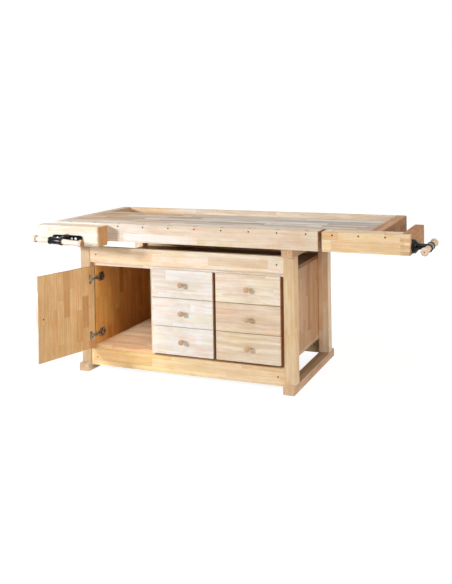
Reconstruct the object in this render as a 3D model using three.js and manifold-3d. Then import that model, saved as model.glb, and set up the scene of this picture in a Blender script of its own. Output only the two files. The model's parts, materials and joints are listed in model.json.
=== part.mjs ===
// A cabinetmaker's workbench: two trestles and four rails carry a top with a tool tray,
// a front vise on the left, an L-shaped tail vise on the right, and a cabinet below with
// one door and two columns of drawers.
// Sizes are in millimetres. +X runs to the right along the bench, +Y to the back, +Z up.
// Until the last lines X = 0 is the left trestle's outer face, Y = 0 the posts' front face
// and Z = 0 the floor.

import * as THREE from 'three';
import { mergeVertices } from 'three/addons/utils/BufferGeometryUtils.js';
import Module from 'manifold-3d';

// Fits
const JOINT_GAP = 0.3;
const RUNNING_GAP = 0.5;
const SLIDE_GAP = 1.5;
const CLOSING_GAP = 1;

// Bench top
const TOP_HEIGHT = 860;
const TOP_LENGTH = 1891;
const TOP_DEPTH = 780;
const TOP_OVERHANG_LEFT = 144;
const TOP_OVERHANG_FRONT = 40;
const APRON_HEIGHT = 100;
const APRON_THICKNESS = 110;
const SLAB_THICKNESS = 50;
const END_CAP_THICKNESS = 55;
const REAR_BOARD_THICKNESS = 28;
const TRAY_WIDTH = 240;
const TRAY_FLOOR_THICKNESS = 12;
const TRAY_FLOOR_LAP = 20;
const TRAY_GROOVE_DEPTH = 8;

// Dog holes along the front edge, each with a small pin hole in the front face
const DOG_WIDTH = 20;
const DOG_LENGTH = 24;
const DOG_FRONT_WALL = 9;
const DOG_FIRST = 106;
const DOG_PITCH = 157.5;
const DOG_END_MARGIN = 40;
const PIN_DIAMETER = 9;
const PIN_DROP = 15;

// Trestles
const FRAME_LENGTH = 1304;
const POST_WIDTH = 62;
const POST_DEPTH = 60;
const FOOT_HEIGHT = 44;
const FOOT_TOE_FRONT = 31;
const FOOT_TOE_REAR = 46;
const BEARER_HEIGHT = 44;
const BEARER_UNDER_REAR_BOARD = 12;
const TENON_WIDTH = 30;
const TENON_DEPTH = 34;
const TENON_LENGTH = 25;

// Rails, held by bolts in cross nuts
const RAIL_THICKNESS = 30;
const RAIL_SETBACK = 3;
const UPPER_RAIL_HEIGHT = 90;
const LOWER_RAIL_HEIGHT = 93;
const LOWER_RAIL_BOTTOM = 33;
const CROSS_NUT_DIAMETER = 10;
const CROSS_NUT_INSET = 38;

// Cabinet
const PANEL = 20;
const BACK_PANEL = 8;
const CABINET_SIDE_GAP = 1;
const CABINET_SEAT = 12;
const DOOR_BAY_WIDTH = 362;
const FRONT_PLANE = 0.5;
const FRONT_THICKNESS = 20;
const FRONT_LAP = 1;
const FRONT_SPACING = 3;
const BOTTOM_REVEAL = 13;
const TOP_REVEAL = 16;

// Drawers and their knobs
const DRAWERS_PER_COLUMN = 3;
const DRAWER_BOX_DEPTH = 480;
const DRAWER_BOX_LIFT = 26;
const DRAWER_BOX_DROP = 18;
const DRAWER_WALL = 12;
const DRAWER_FLOOR = 6;
const RUNNER_HEIGHT = 10;
const RUNNER_WIDTH = 14;
const KNOB_DIAMETER = 32;
const KNOB_NECK = 13;
const KNOB_FOOT = 18;
const KNOB_LENGTH = 28;
const KNOB_HEAD_LENGTH = 18;
const KNOB_STEPS = 8;

// Door and its cup hinges
const DOOR_EDGE_INSET = 2;
const DOOR_OPEN_DEGREES = 106;
const DOOR_DROP = 6;
const DOOR_KNOB_INSET = 36;
const HINGE_FROM_EDGE = 72;
const HINGE_CUP_DIAMETER = 35;
const HINGE_CUP_WALL = 2;
const HINGE_CUP_DEPTH = 11;
const HINGE_CUP_EDGE = 5;
const HINGE_RIM = 0.6;
const HINGE_PIN_INSET = 4.5;
const HINGE_PIN_DIAMETER = 3;
const HINGE_PIN_REACH = 12;
const HINGE_BARREL_DIAMETER = 6;
const HINGE_LINK_HEIGHT = 10;
const HINGE_LINK_THICKNESS = 4;
const HINGE_LEG_THICKNESS = 3;
const HINGE_WING_LENGTH = 52;
const HINGE_WING_WIDTH = 16;
const HINGE_PLATE_LENGTH = 46;
const HINGE_PLATE_HEIGHT = 50;
const HINGE_PLATE_THICKNESS = 3;
const HINGE_ARM_LENGTH = 82;
const HINGE_ARM_WIDTH = 15;
const HINGE_ARM_DEPTH = 11;
const HINGE_ARM_SETBACK = 3;

// Vise screws and their wooden handles, alike on both vises
const SCREW_DIAMETER = 26;
const NECK_DIAMETER = 31;
const SLEEVE_DIAMETER = 37;
const SLEEVE_RIM_DIAMETER = 42;
const SLEEVE_RIM_WIDTH = 12;
const SLEEVE_LENGTH = 84;
const HANDLE_DIAMETER = 29;
const HANDLE_LENGTH = 324;
const HANDLE_CAP_DIAMETER = 42;
const HANDLE_CAP_LENGTH = 25;
const HANDLE_CAP_ROUNDING = 10;
const HANDLE_CAP_STEPS = 4;
const SCREW_RUN_OUT = 12;

// Front vise
const FRONT_SCREW_FROM_LEFT = 146;
const FRONT_SCREW_DROP = 80;
const JAW_WIDTH = 410;
const JAW_THICKNESS = 85;
const JAW_HEIGHT = 110;
const JAW_DROP = 11;
const JAW_CORNER_RADIUS = 18;
const FRONT_TRAVEL = 150;
const FRONT_SLEEVE_REACH = 110;
const FRONT_HANDLE_SHIFT = 11;
const FRONT_HANDLE_TILT_DEGREES = 3;
const FLANGE_LENGTH = 198;
const FLANGE_HEIGHT = 36;
const FLANGE_THICKNESS = 9;
const FLANGE_BOSS_DIAMETER = 48;
const FLANGE_BOSS_LENGTH = 22;
const COLLAR_DIAMETER = 42;
const COLLAR_LENGTH = 8;
const GUIDE_DIAMETER = 18;
const GUIDE_OFFSET = 70;
const GUIDE_SOCKET = 50;
const GUIDE_TIE_THICKNESS = 14;
const GUIDE_TIE_HEIGHT = 24;
const NUT_LENGTH = 42;
const NUT_HEIGHT = 44;
const NUT_WALL = 6;
const BEARER_STEP_CLEARANCE = 30;

// Tail vise
const TAIL_LENGTH = 445;
const TAIL_JAW_OPENING = 22;
const TAIL_CLEAR_OF_TOP = 115;
const TAIL_OPEN_TRAVEL = 110;
const TAIL_DEPTH_CLEARANCE = 2;
const TAIL_FRONT_WALL = 42;
const TAIL_COVER = 36;
const TAIL_JAW_BLOCK = 60;
const TAIL_DOG_FIRST = 54;
const TAIL_DOG_PITCH = 134.5;
const END_BOARD_THICKNESS = 47;
const END_BOARD_LENGTH = 408;
const FINGER_COUNT = 6;
const TONGUE_HEIGHT = 12;
const TONGUE_DEPTH = 12;
const TONGUE_DROP = 16;
const TAIL_SCREW_SETBACK = 64;
const TAIL_SCREW_DROP = 62;
const TAIL_SLEEVE_REACH = 84;
const TAIL_HANDLE_SHIFT = 0;
const TAIL_COLLAR_DIAMETER = 70;
const TAIL_COLLAR_LENGTH = 18;
const TAIL_COLLAR_TAPER = 14;
const TAIL_NUT_HEIGHT = 44;
const TAIL_NUT_CLEARANCE = 4;

// Facets of round pieces
const ROUND_SIDES = 32;
const BORE_SIDES = 24;
const SMALL_BORE_SIDES = 12;
const MERGE_TOLERANCE = 1e-4;

// Planes that several pieces share
const topLeft = -TOP_OVERHANG_LEFT;
const topRight = topLeft + TOP_LENGTH;
const topFront = -TOP_OVERHANG_FRONT;
const topRear = topFront + TOP_DEPTH;
const apronRear = topFront + APRON_THICKNESS;
const apronBottom = TOP_HEIGHT - APRON_HEIGHT;
const slabBottom = TOP_HEIGHT - SLAB_THICKNESS;
const rearBoardFront = topRear - REAR_BOARD_THICKNESS;
const slabRear = rearBoardFront - TRAY_WIDTH;
const trayFloorTop = slabBottom - JOINT_GAP;
const trayFloorBottom = trayFloorTop - TRAY_FLOOR_THICKNESS;
const trayFloorFront = slabRear - TRAY_FLOOR_LAP;
const innerLeft = topLeft + END_CAP_THICKNESS + JOINT_GAP;
const innerRight = topRight - END_CAP_THICKNESS - JOINT_GAP;
const bearerTop = apronBottom - JOINT_GAP;
const bearerBottom = bearerTop - BEARER_HEIGHT;
const bearerRear = rearBoardFront + BEARER_UNDER_REAR_BOARD;
const upperRailBottom = bearerBottom - JOINT_GAP - UPPER_RAIL_HEIGHT;
const frameRear = bearerRear - FOOT_TOE_REAR;
const dogFront = topFront + DOG_FRONT_WALL;
const dogRear = dogFront + DOG_LENGTH;
const tailRight = topRight + TAIL_CLEAR_OF_TOP + END_BOARD_THICKNESS;
const tailLeft = tailRight - TAIL_LENGTH;
const apronRight = tailLeft - TAIL_JAW_OPENING;
const tailRear = apronRear - TAIL_DEPTH_CLEARANCE;
const endBoardLeft = tailRight - END_BOARD_THICKNESS;
const tongueTop = TOP_HEIGHT - TONGUE_DROP;
const tongueBottom = tongueTop - TONGUE_HEIGHT;

// Materials
const beech = new THREE.MeshStandardMaterial({ color: 0xe6c79c, roughness: 0.5, metalness: 0 });
const paleBeech = new THREE.MeshStandardMaterial({ color: 0xefd6b0, roughness: 0.5, metalness: 0 });
const blackSteel = new THREE.MeshStandardMaterial({ color: 0x17181a, roughness: 0.4, metalness: 0.7 });
const brightSteel = new THREE.MeshStandardMaterial({ color: 0xb9bcc0, roughness: 0.3, metalness: 1 });

const wasm = await Module();
wasm.setup();

// A closed solid from a geometry, with its shared corners merged
function solidOf(geometry) {
  const bare = geometry.clone();
  bare.deleteAttribute('normal');
  bare.deleteAttribute('uv');
  const merged = mergeVertices(bare, MERGE_TOLERANCE);
  const index = merged.index.array;
  const triangles = [];
  for (let i = 0; i < index.length; i += 3) {
    const [a, b, c] = [index[i], index[i + 1], index[i + 2]];
    if (a !== b && b !== c && c !== a) {
      triangles.push(a, b, c);
    }
  }
  return new wasm.Manifold(new wasm.Mesh({
    numProp: 3,
    vertProperties: new Float32Array(merged.attributes.position.array),
    triVerts: new Uint32Array(triangles),
  }));
}

// A named mesh of a solid
function piece(name, solid, material) {
  const { vertProperties, triVerts } = solid.getMesh();
  const geometry = new THREE.BufferGeometry();
  geometry.setAttribute('position', new THREE.BufferAttribute(new Float32Array(vertProperties), 3));
  geometry.setIndex(new THREE.BufferAttribute(new Uint32Array(triVerts), 1));
  geometry.computeVertexNormals();
  const mesh = new THREE.Mesh(geometry, material);
  mesh.name = name;
  return mesh;
}

function join(first, ...others) {
  return others.reduce((sum, other) => sum.add(other), first);
}

function cut(first, ...others) {
  return others.reduce((rest, other) => rest.subtract(other), first);
}

// A block between two opposite corners
function block(low, high) {
  const geometry = new THREE.BoxGeometry(1, 1, 1);
  const position = geometry.attributes.position;
  for (let i = 0; i < position.count; i += 1) {
    position.setXYZ(
      i,
      position.getX(i) < 0 ? low[0] : high[0],
      position.getY(i) < 0 ? low[1] : high[1],
      position.getZ(i) < 0 ? low[2] : high[2],
    );
  }
  return solidOf(geometry);
}

// A turned solid about a line through centre along +X, +Y or +Z.
// The profile is a list of [radius, distance along the line], starting and ending on the line.
function turned(axis, centre, profile, sides = ROUND_SIDES) {
  const points = profile.map(([radius, along]) => new THREE.Vector2(radius, along));
  const geometry = new THREE.LatheGeometry(points, sides);
  if (axis === 'x') {
    geometry.rotateZ(-Math.PI / 2);
  }
  if (axis === 'z') {
    geometry.rotateX(Math.PI / 2);
  }
  geometry.translate(...centre);
  return solidOf(geometry);
}

function cylinder(axis, centre, diameter, start, end, sides = ROUND_SIDES) {
  const radius = diameter / 2;
  return turned(axis, centre, [[0, start], [radius, start], [radius, end], [0, end]], sides);
}

// A prism of an outline, pushed along its plane's normal from start by depth.
// 'xy' is pushed along +Z, 'yz' along +X and 'xz' along -Y.
function prism(plane, outline, start, depth) {
  const shape = Array.isArray(outline)
    ? new THREE.Shape(outline.map(([u, v]) => new THREE.Vector2(u, v)))
    : outline;
  const geometry = new THREE.ExtrudeGeometry(shape, {
    depth,
    bevelEnabled: false,
    curveSegments: BORE_SIDES / 2,
  });
  geometry.translate(0, 0, start);
  const along = {
    xy: [[1, 0, 0], [0, 1, 0], [0, 0, 1]],
    yz: [[0, 1, 0], [0, 0, 1], [1, 0, 0]],
    xz: [[1, 0, 0], [0, 0, 1], [0, -1, 0]],
  }[plane].map((axis) => new THREE.Vector3(...axis));
  geometry.applyMatrix4(new THREE.Matrix4().makeBasis(...along));
  return solidOf(geometry);
}

function group(...children) {
  const made = new THREE.Group();
  children.forEach((child) => made.add(child));
  return made;
}

// Trestles: a foot, two posts tenoned into it and a bearer that carries the top

const frontScrewX = topLeft + FRONT_SCREW_FROM_LEFT;
const frontScrewZ = TOP_HEIGHT - FRONT_SCREW_DROP;
const frontNutRear = apronRear + JOINT_GAP + NUT_LENGTH;
const guideRear = frontNutRear + FRONT_TRAVEL + SCREW_RUN_OUT + GUIDE_TIE_THICKNESS;
const frontScrewRear = guideRear - GUIDE_TIE_THICKNESS - JOINT_GAP;

function tenon(y, z, height, gap) {
  const x = POST_WIDTH / 2;
  const middle = y + POST_DEPTH / 2;
  return block(
    [x - TENON_WIDTH / 2 - gap, middle - TENON_DEPTH / 2 - gap, z],
    [x + TENON_WIDTH / 2 + gap, middle + TENON_DEPTH / 2 + gap, z + height],
  );
}

function post(y) {
  const low = FOOT_HEIGHT + JOINT_GAP;
  const high = bearerBottom - JOINT_GAP;
  return join(
    block([0, y, low], [POST_WIDTH, y + POST_DEPTH, high]),
    tenon(y, low - TENON_LENGTH, high - low + 2 * TENON_LENGTH, 0),
  );
}

function trestle(side, x) {
  const rows = { front: 0, rear: frameRear - POST_DEPTH };
  const mortiseDepth = TENON_LENGTH + JOINT_GAP;
  let foot = block([0, -FOOT_TOE_FRONT, 0], [POST_WIDTH, bearerRear, FOOT_HEIGHT]);
  const slabStep = slabBottom - JOINT_GAP;
  const trayStep = trayFloorBottom - JOINT_GAP;
  let bearer = prism('yz', [
    [-FOOT_TOE_FRONT, bearerBottom],
    [bearerRear, bearerBottom],
    [bearerRear, bearerTop],
    [rearBoardFront - JOINT_GAP, bearerTop],
    [rearBoardFront - JOINT_GAP, trayStep],
    [trayFloorFront - JOINT_GAP, trayStep],
    [trayFloorFront - JOINT_GAP, slabStep],
    [guideRear + BEARER_STEP_CLEARANCE, slabStep],
    [guideRear + BEARER_STEP_CLEARANCE, bearerTop],
    [-FOOT_TOE_FRONT, bearerTop],
  ], 0, POST_WIDTH);
  const posts = [];
  for (const [row, y] of Object.entries(rows)) {
    posts.push(piece(`${side}_${row}_post`, post(y), beech));
    foot = cut(foot, tenon(y, FOOT_HEIGHT - mortiseDepth, mortiseDepth + FOOT_HEIGHT, JOINT_GAP));
    bearer = cut(
      bearer,
      tenon(y, bearerBottom - BEARER_HEIGHT, BEARER_HEIGHT + mortiseDepth, JOINT_GAP),
    );
  }
  const made = group(
    piece(`${side}_foot`, foot, beech),
    ...posts,
    piece(`${side}_bearer`, bearer, beech),
  );
  made.position.x = x;
  return made;
}

// Rails between the trestles, each bored for the cross nuts of its bolts

function rail(name, y, bottom, height) {
  const left = POST_WIDTH + JOINT_GAP;
  const right = FRAME_LENGTH - POST_WIDTH - JOINT_GAP;
  const bores = [left + CROSS_NUT_INSET, right - CROSS_NUT_INSET].map((x) => cylinder(
    'y',
    [x, y, bottom + height / 2],
    CROSS_NUT_DIAMETER,
    -RAIL_THICKNESS,
    2 * RAIL_THICKNESS,
    SMALL_BORE_SIDES,
  ));
  const bar = block([left, y, bottom], [right, y + RAIL_THICKNESS, bottom + height]);
  return piece(name, cut(bar, ...bores), beech);
}

function rails() {
  const rows = { front: RAIL_SETBACK, rear: frameRear - RAIL_SETBACK - RAIL_THICKNESS };
  const made = group();
  for (const [row, y] of Object.entries(rows)) {
    made.add(rail(`${row}_upper_rail`, y, upperRailBottom, UPPER_RAIL_HEIGHT));
    made.add(rail(`${row}_lower_rail`, y, LOWER_RAIL_BOTTOM, LOWER_RAIL_HEIGHT));
  }
  return made;
}

// Top: apron with dog holes, slab, tray and end caps

function dogHole(x) {
  const pin = [x, topFront, TOP_HEIGHT - PIN_DROP];
  const pinEnd = DOG_FRONT_WALL + DOG_LENGTH / 2;
  return join(
    block(
      [x - DOG_WIDTH / 2, dogFront, apronBottom - APRON_HEIGHT],
      [x + DOG_WIDTH / 2, dogRear, TOP_HEIGHT + APRON_HEIGHT],
    ),
    cylinder('y', pin, PIN_DIAMETER, -DOG_FRONT_WALL, pinEnd, SMALL_BORE_SIDES),
  );
}

function dogHoles(start, first, pitch, end) {
  const holes = [];
  for (let x = start + first; x <= end - DOG_END_MARGIN; x += pitch) {
    holes.push(dogHole(x));
  }
  return holes;
}

function viseBore(offset, diameter, start, end) {
  return cylinder('y', [frontScrewX + offset, 0, frontScrewZ], diameter, start, end, BORE_SIDES);
}

function viseBores(start, end) {
  const guideBore = GUIDE_DIAMETER + 2 * RUNNING_GAP;
  return [
    viseBore(0, SCREW_DIAMETER + 2 * RUNNING_GAP, start, end),
    ...[-GUIDE_OFFSET, GUIDE_OFFSET].map((x) => viseBore(x, guideBore, start, end)),
  ];
}

function benchTop() {
  const apron = cut(
    block([topLeft, topFront, apronBottom], [apronRight, apronRear, TOP_HEIGHT]),
    ...dogHoles(topLeft, DOG_FIRST, DOG_PITCH, apronRight),
    ...viseBores(topFront - APRON_THICKNESS, apronRear + APRON_THICKNESS),
  );
  const behindApron = apronRear + JOINT_GAP;
  const groove = block(
    [apronRight, topFront, tongueBottom - RUNNING_GAP],
    [tailRight, tailRear + TONGUE_DEPTH + RUNNING_GAP, tongueTop + RUNNING_GAP],
  );
  const slab = cut(
    block([innerLeft, behindApron, slabBottom], [innerRight, slabRear, TOP_HEIGHT]),
    groove,
  );
  const floorRear = rearBoardFront + TRAY_GROOVE_DEPTH;
  const floor = block(
    [innerLeft, trayFloorFront, trayFloorBottom],
    [innerRight, floorRear - JOINT_GAP, trayFloorTop],
  );
  const rearBoard = cut(
    block([innerLeft, rearBoardFront, apronBottom], [innerRight, topRear, TOP_HEIGHT]),
    block(
      [topLeft, slabRear, trayFloorBottom - JOINT_GAP],
      [topRight, floorRear, trayFloorTop + JOINT_GAP],
    ),
  );
  const endCap = (x) => block(
    [x, behindApron, apronBottom],
    [x + END_CAP_THICKNESS, topRear, TOP_HEIGHT],
  );
  return group(
    piece('front_apron', apron, paleBeech),
    piece('bench_slab', slab, beech),
    piece('tray_floor', floor, beech),
    piece('tray_rear_board', rearBoard, beech),
    piece('left_end_cap', endCap(topLeft), beech),
    piece('right_end_cap', cut(endCap(topRight - END_CAP_THICKNESS), groove), beech),
  );
}

// Cabinet on the lower rails

const cabinetLeft = POST_WIDTH + CABINET_SIDE_GAP;
const cabinetRight = FRAME_LENGTH - POST_WIDTH - CABINET_SIDE_GAP;
const cabinetFront = FRONT_PLANE + FRONT_THICKNESS + CLOSING_GAP;
const cabinetRear = frameRear - RAIL_SETBACK - RAIL_THICKNESS + CABINET_SEAT;
const cabinetBottom = LOWER_RAIL_BOTTOM + LOWER_RAIL_HEIGHT + JOINT_GAP;
const cabinetTop = upperRailBottom - JOINT_GAP;
const bayBottom = cabinetBottom + PANEL + JOINT_GAP;
const bayTop = cabinetTop - PANEL - JOINT_GAP;
const doorBayLeft = cabinetLeft + PANEL;
const doorBayRight = doorBayLeft + DOOR_BAY_WIDTH;
const drawerBayWidth = (cabinetRight - PANEL - doorBayRight - 2 * PANEL) / 2;
const drawerBays = {
  left: doorBayRight + PANEL,
  right: doorBayRight + 2 * PANEL + drawerBayWidth,
};
const frontsBottom = cabinetBottom + BOTTOM_REVEAL;
const frontsTop = cabinetTop - TOP_REVEAL;
const drawerPitch = (frontsTop - frontsBottom + FRONT_SPACING) / DRAWERS_PER_COLUMN;
const drawerFrontHeight = drawerPitch - FRONT_SPACING;
const insideRear = cabinetRear - BACK_PANEL - JOINT_GAP;

function runners(panel, left, right) {
  let made = panel;
  for (let row = 0; row < DRAWERS_PER_COLUMN; row += 1) {
    const top = frontsBottom + row * drawerPitch + DRAWER_BOX_LIFT - RUNNING_GAP;
    const strip = block([left, cabinetFront, top - RUNNER_HEIGHT], [right, insideRear, top]);
    made = join(made, strip);
  }
  return made;
}

function upright(x, rear) {
  return block([x, cabinetFront, bayBottom], [x + PANEL, rear, bayTop]);
}

function cabinet() {
  const rightSide = cabinetRight - PANEL;
  const doorDivider = doorBayRight;
  const drawerDivider = drawerBays.right - PANEL;
  const back = block(
    [doorBayLeft + JOINT_GAP, cabinetRear - BACK_PANEL, bayBottom],
    [rightSide - JOINT_GAP, cabinetRear, bayTop],
  );
  const shelf = (bottom) => block(
    [cabinetLeft, cabinetFront, bottom],
    [cabinetRight, cabinetRear, bottom + PANEL],
  );
  return group(
    piece('cabinet_bottom', shelf(cabinetBottom), beech),
    piece('cabinet_top', shelf(cabinetTop - PANEL), beech),
    piece('cabinet_left_side', upright(cabinetLeft, cabinetRear), beech),
    piece('cabinet_right_side', runners(
      upright(rightSide, cabinetRear),
      rightSide - RUNNER_WIDTH,
      rightSide + PANEL / 2,
    ), beech),
    piece('cabinet_back', back, beech),
    piece('door_divider', runners(
      upright(doorDivider, insideRear),
      doorDivider + PANEL / 2,
      doorDivider + PANEL + RUNNER_WIDTH,
    ), beech),
    piece('drawer_divider', runners(
      upright(drawerDivider, insideRear),
      drawerDivider - RUNNER_WIDTH,
      drawerDivider + PANEL + RUNNER_WIDTH,
    ), beech),
  );
}

// A turned mushroom knob whose foot sits on the plane Y = 0 and whose head points to -Y

function knob(name) {
  const neckAngle = Math.PI - Math.asin(KNOB_NECK / KNOB_DIAMETER);
  const head = [];
  for (let i = 0; i <= KNOB_STEPS; i += 1) {
    const angle = neckAngle * i / KNOB_STEPS;
    const radius = KNOB_DIAMETER / 2 * Math.sin(angle);
    head.push([radius, KNOB_HEAD_LENGTH / 2 * (1 - Math.cos(angle)) - KNOB_LENGTH]);
  }
  const profile = [...head, [KNOB_FOOT / 2, 0], [0, 0]];
  return piece(name, turned('y', [0, -JOINT_GAP, 0], profile, BORE_SIDES), beech);
}

// A drawer: an open box behind an overlay front with a knob.
// Its origin is the front's lower left corner on the front face.

function drawer(name) {
  const width = drawerBayWidth + 2 * FRONT_LAP;
  const front = block([0, 0, 0], [width, FRONT_THICKNESS, drawerFrontHeight]);
  const left = FRONT_LAP + SLIDE_GAP;
  const right = width - FRONT_LAP - SLIDE_GAP;
  const near = FRONT_THICKNESS + JOINT_GAP;
  const far = near + DRAWER_BOX_DEPTH;
  const low = DRAWER_BOX_LIFT;
  const high = drawerFrontHeight - DRAWER_BOX_DROP;
  const box = cut(
    block([left, near, low], [right, far, high]),
    block(
      [left + DRAWER_WALL, near + DRAWER_WALL, low + DRAWER_FLOOR],
      [right - DRAWER_WALL, far - DRAWER_WALL, drawerFrontHeight],
    ),
  );
  const handle = knob(`${name}_knob`);
  handle.position.set(width / 2, 0, drawerFrontHeight / 2);
  return group(piece(`${name}_front`, front, paleBeech), piece(`${name}_box`, box, beech), handle);
}

function drawers() {
  const rows = ['bottom', 'middle', 'top'];
  const made = group();
  for (const [column, x] of Object.entries(drawerBays)) {
    for (let row = 0; row < DRAWERS_PER_COLUMN; row += 1) {
      const one = drawer(`${column}_${rows[row]}_drawer`);
      one.position.set(x - FRONT_LAP, FRONT_PLANE, frontsBottom + row * drawerPitch);
      made.add(one);
    }
  }
  return made;
}

// Door on two cup hinges, standing open. Each hinge's fixed arm reaches round the cabinet's
// edge to a barrel and pin inside the door's front corner. The cup is slotted for the arm's link.
// The door's parts are set out closed, about the pin line.

const doorLeft = cabinetLeft + DOOR_EDGE_INSET;
const doorRight = drawerBays.left - FRONT_LAP - FRONT_SPACING;
const pinLineX = doorLeft + HINGE_PIN_INSET;
const pinLineY = FRONT_PLANE + HINGE_PIN_INSET;
const doorInnerFace = FRONT_THICKNESS - HINGE_PIN_INSET;
const doorBottom = frontsBottom - DOOR_DROP;
const doorTop = frontsTop - DOOR_DROP;
const hingeHeights = { upper: doorTop - HINGE_FROM_EDGE, lower: doorBottom + HINGE_FROM_EDGE };
const cupX = HINGE_CUP_EDGE + HINGE_CUP_DIAMETER / 2 - HINGE_PIN_INSET;

// The room the arm's link needs across the cup and the door's inner face
function linkSlot(z) {
  const half = HINGE_LINK_HEIGHT / 2 + RUNNING_GAP;
  const floor = doorInnerFace - HINGE_LINK_THICKNESS - 2 * RUNNING_GAP;
  return block(
    [-HINGE_PIN_INSET - CLOSING_GAP, floor, z - half],
    [cupX, doorInnerFace + HINGE_CUP_DEPTH, z + half],
  );
}

// The room the pin, the barrel and the arm's leg need in the door's edge as it swings
function barrelRoom(z) {
  const half = HINGE_LINK_HEIGHT / 2 + RUNNING_GAP;
  const pin = half + HINGE_PIN_REACH;
  const barrelGap = HINGE_BARREL_DIAMETER / 2 + RUNNING_GAP;
  return join(
    cylinder('z', [0, 0, z], HINGE_PIN_DIAMETER + 2 * JOINT_GAP, -pin, pin, SMALL_BORE_SIDES),
    cylinder('z', [0, 0, z], 2 * barrelGap, -half, half, BORE_SIDES),
    block(
      [-HINGE_PIN_INSET - CLOSING_GAP, -barrelGap, z - half],
      [HINGE_LEG_THICKNESS / 2 + RUNNING_GAP, doorInnerFace + CLOSING_GAP, z + half],
    ),
  );
}

function hingeCup(name, z) {
  const outer = HINGE_CUP_DIAMETER / 2;
  const inner = outer - HINGE_CUP_WALL;
  const bottom = -HINGE_CUP_DEPTH;
  const cup = turned('y', [cupX, doorInnerFace, z], [
    [0, bottom],
    [outer, bottom],
    [outer, HINGE_RIM],
    [inner, HINGE_RIM],
    [inner, bottom + HINGE_CUP_WALL],
    [0, bottom + HINGE_CUP_WALL],
  ], BORE_SIDES);
  const wings = block(
    [cupX, doorInnerFace + JOINT_GAP / 2, z - HINGE_WING_LENGTH / 2],
    [cupX + HINGE_WING_WIDTH, doorInnerFace + HINGE_RIM, z + HINGE_WING_LENGTH / 2],
  );
  const hollow = cylinder(
    'y',
    [cupX, doorInnerFace, z],
    2 * inner,
    bottom + HINGE_CUP_WALL,
    HINGE_CUP_DEPTH,
    BORE_SIDES,
  );
  return piece(name, cut(join(cup, cut(wings, hollow)), linkSlot(z), barrelRoom(z)), brightSteel);
}

function door() {
  const left = -HINGE_PIN_INSET;
  const right = left + doorRight - doorLeft;
  let panel = block([left, -HINGE_PIN_INSET, doorBottom], [right, doorInnerFace, doorTop]);
  const made = group();
  for (const [place, z] of Object.entries(hingeHeights)) {
    const pocket = cylinder(
      'y',
      [cupX, doorInnerFace, z],
      HINGE_CUP_DIAMETER + 2 * JOINT_GAP,
      -HINGE_CUP_DEPTH - JOINT_GAP,
      HINGE_CUP_DEPTH,
      BORE_SIDES,
    );
    panel = cut(panel, pocket, linkSlot(z), barrelRoom(z));
    made.add(hingeCup(`${place}_hinge_cup`, z));
  }
  const handle = knob('door_knob');
  handle.position.set(right - DOOR_KNOB_INSET, -HINGE_PIN_INSET, (doorBottom + doorTop) / 2);
  made.add(piece('door_panel', panel, paleBeech), handle);
  made.position.set(pinLineX, pinLineY, 0);
  made.rotation.z = -THREE.MathUtils.degToRad(DOOR_OPEN_DEGREES);
  return made;
}

function hingeArm(name, z) {
  const x = doorBayLeft + JOINT_GAP;
  const front = cabinetFront + HINGE_ARM_SETBACK;
  const rear = front + HINGE_ARM_LENGTH;
  const plate = block(
    [x, rear - HINGE_PLATE_LENGTH, z - HINGE_PLATE_HEIGHT / 2],
    [x + HINGE_PLATE_THICKNESS, rear, z + HINGE_PLATE_HEIGHT / 2],
  );
  const arm = prism('xy', [
    [x + HINGE_PLATE_THICKNESS * 2, rear],
    [x + HINGE_PLATE_THICKNESS / 2, rear],
    [x + HINGE_PLATE_THICKNESS / 2, rear - HINGE_PLATE_LENGTH],
    [x + HINGE_ARM_DEPTH / 2, front],
    [x + HINGE_ARM_DEPTH, front],
    [x + HINGE_ARM_DEPTH, rear - HINGE_PLATE_LENGTH / 2],
  ], z - HINGE_ARM_WIDTH / 2, HINGE_ARM_WIDTH);
  const half = HINGE_LINK_HEIGHT / 2;
  const pin = half + HINGE_PIN_REACH;
  const linkRear = FRONT_PLANE + FRONT_THICKNESS - RUNNING_GAP;
  const legLeft = pinLineX - HINGE_LEG_THICKNESS / 2;
  const linkFront = linkRear - HINGE_LINK_THICKNESS;
  const armRight = x + HINGE_ARM_DEPTH;
  return piece(name, join(
    plate,
    arm,
    block([armRight - HINGE_ARM_DEPTH / 2, linkFront, z - half], [armRight, rear, z + half]),
    block([legLeft, linkFront, z - half], [armRight, linkRear, z + half]),
    block([legLeft, pinLineY, z - half], [legLeft + HINGE_LEG_THICKNESS, linkRear, z + half]),
    cylinder('z', [pinLineX, pinLineY, z], HINGE_BARREL_DIAMETER, -half, half, BORE_SIDES),
    cylinder('z', [pinLineX, pinLineY, z], HINGE_PIN_DIAMETER, -pin, pin, SMALL_BORE_SIDES),
  ), brightSteel);
}

function hingeArms() {
  return group(...Object.entries(hingeHeights).map(([place, z]) => hingeArm(`${place}_hinge_arm`, z)));
}

// Parts that both vises have: a sleeve across the screw's end, and a wooden handle through it

function sleeve(axis, centre) {
  const end = SLEEVE_LENGTH / 2;
  const rim = SLEEVE_RIM_DIAMETER / 2;
  const waist = SLEEVE_DIAMETER / 2;
  return turned(axis, centre, [
    [0, -end],
    [rim, -end],
    [rim, -end + SLEEVE_RIM_WIDTH / 2],
    [waist, -end + SLEEVE_RIM_WIDTH],
    [waist, end - SLEEVE_RIM_WIDTH],
    [rim, end - SLEEVE_RIM_WIDTH / 2],
    [rim, end],
    [0, end],
  ]);
}

function handleBore(axis, centre) {
  return cylinder(axis, centre, HANDLE_DIAMETER + 2 * RUNNING_GAP, -SLEEVE_LENGTH, SLEEVE_LENGTH);
}

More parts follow.
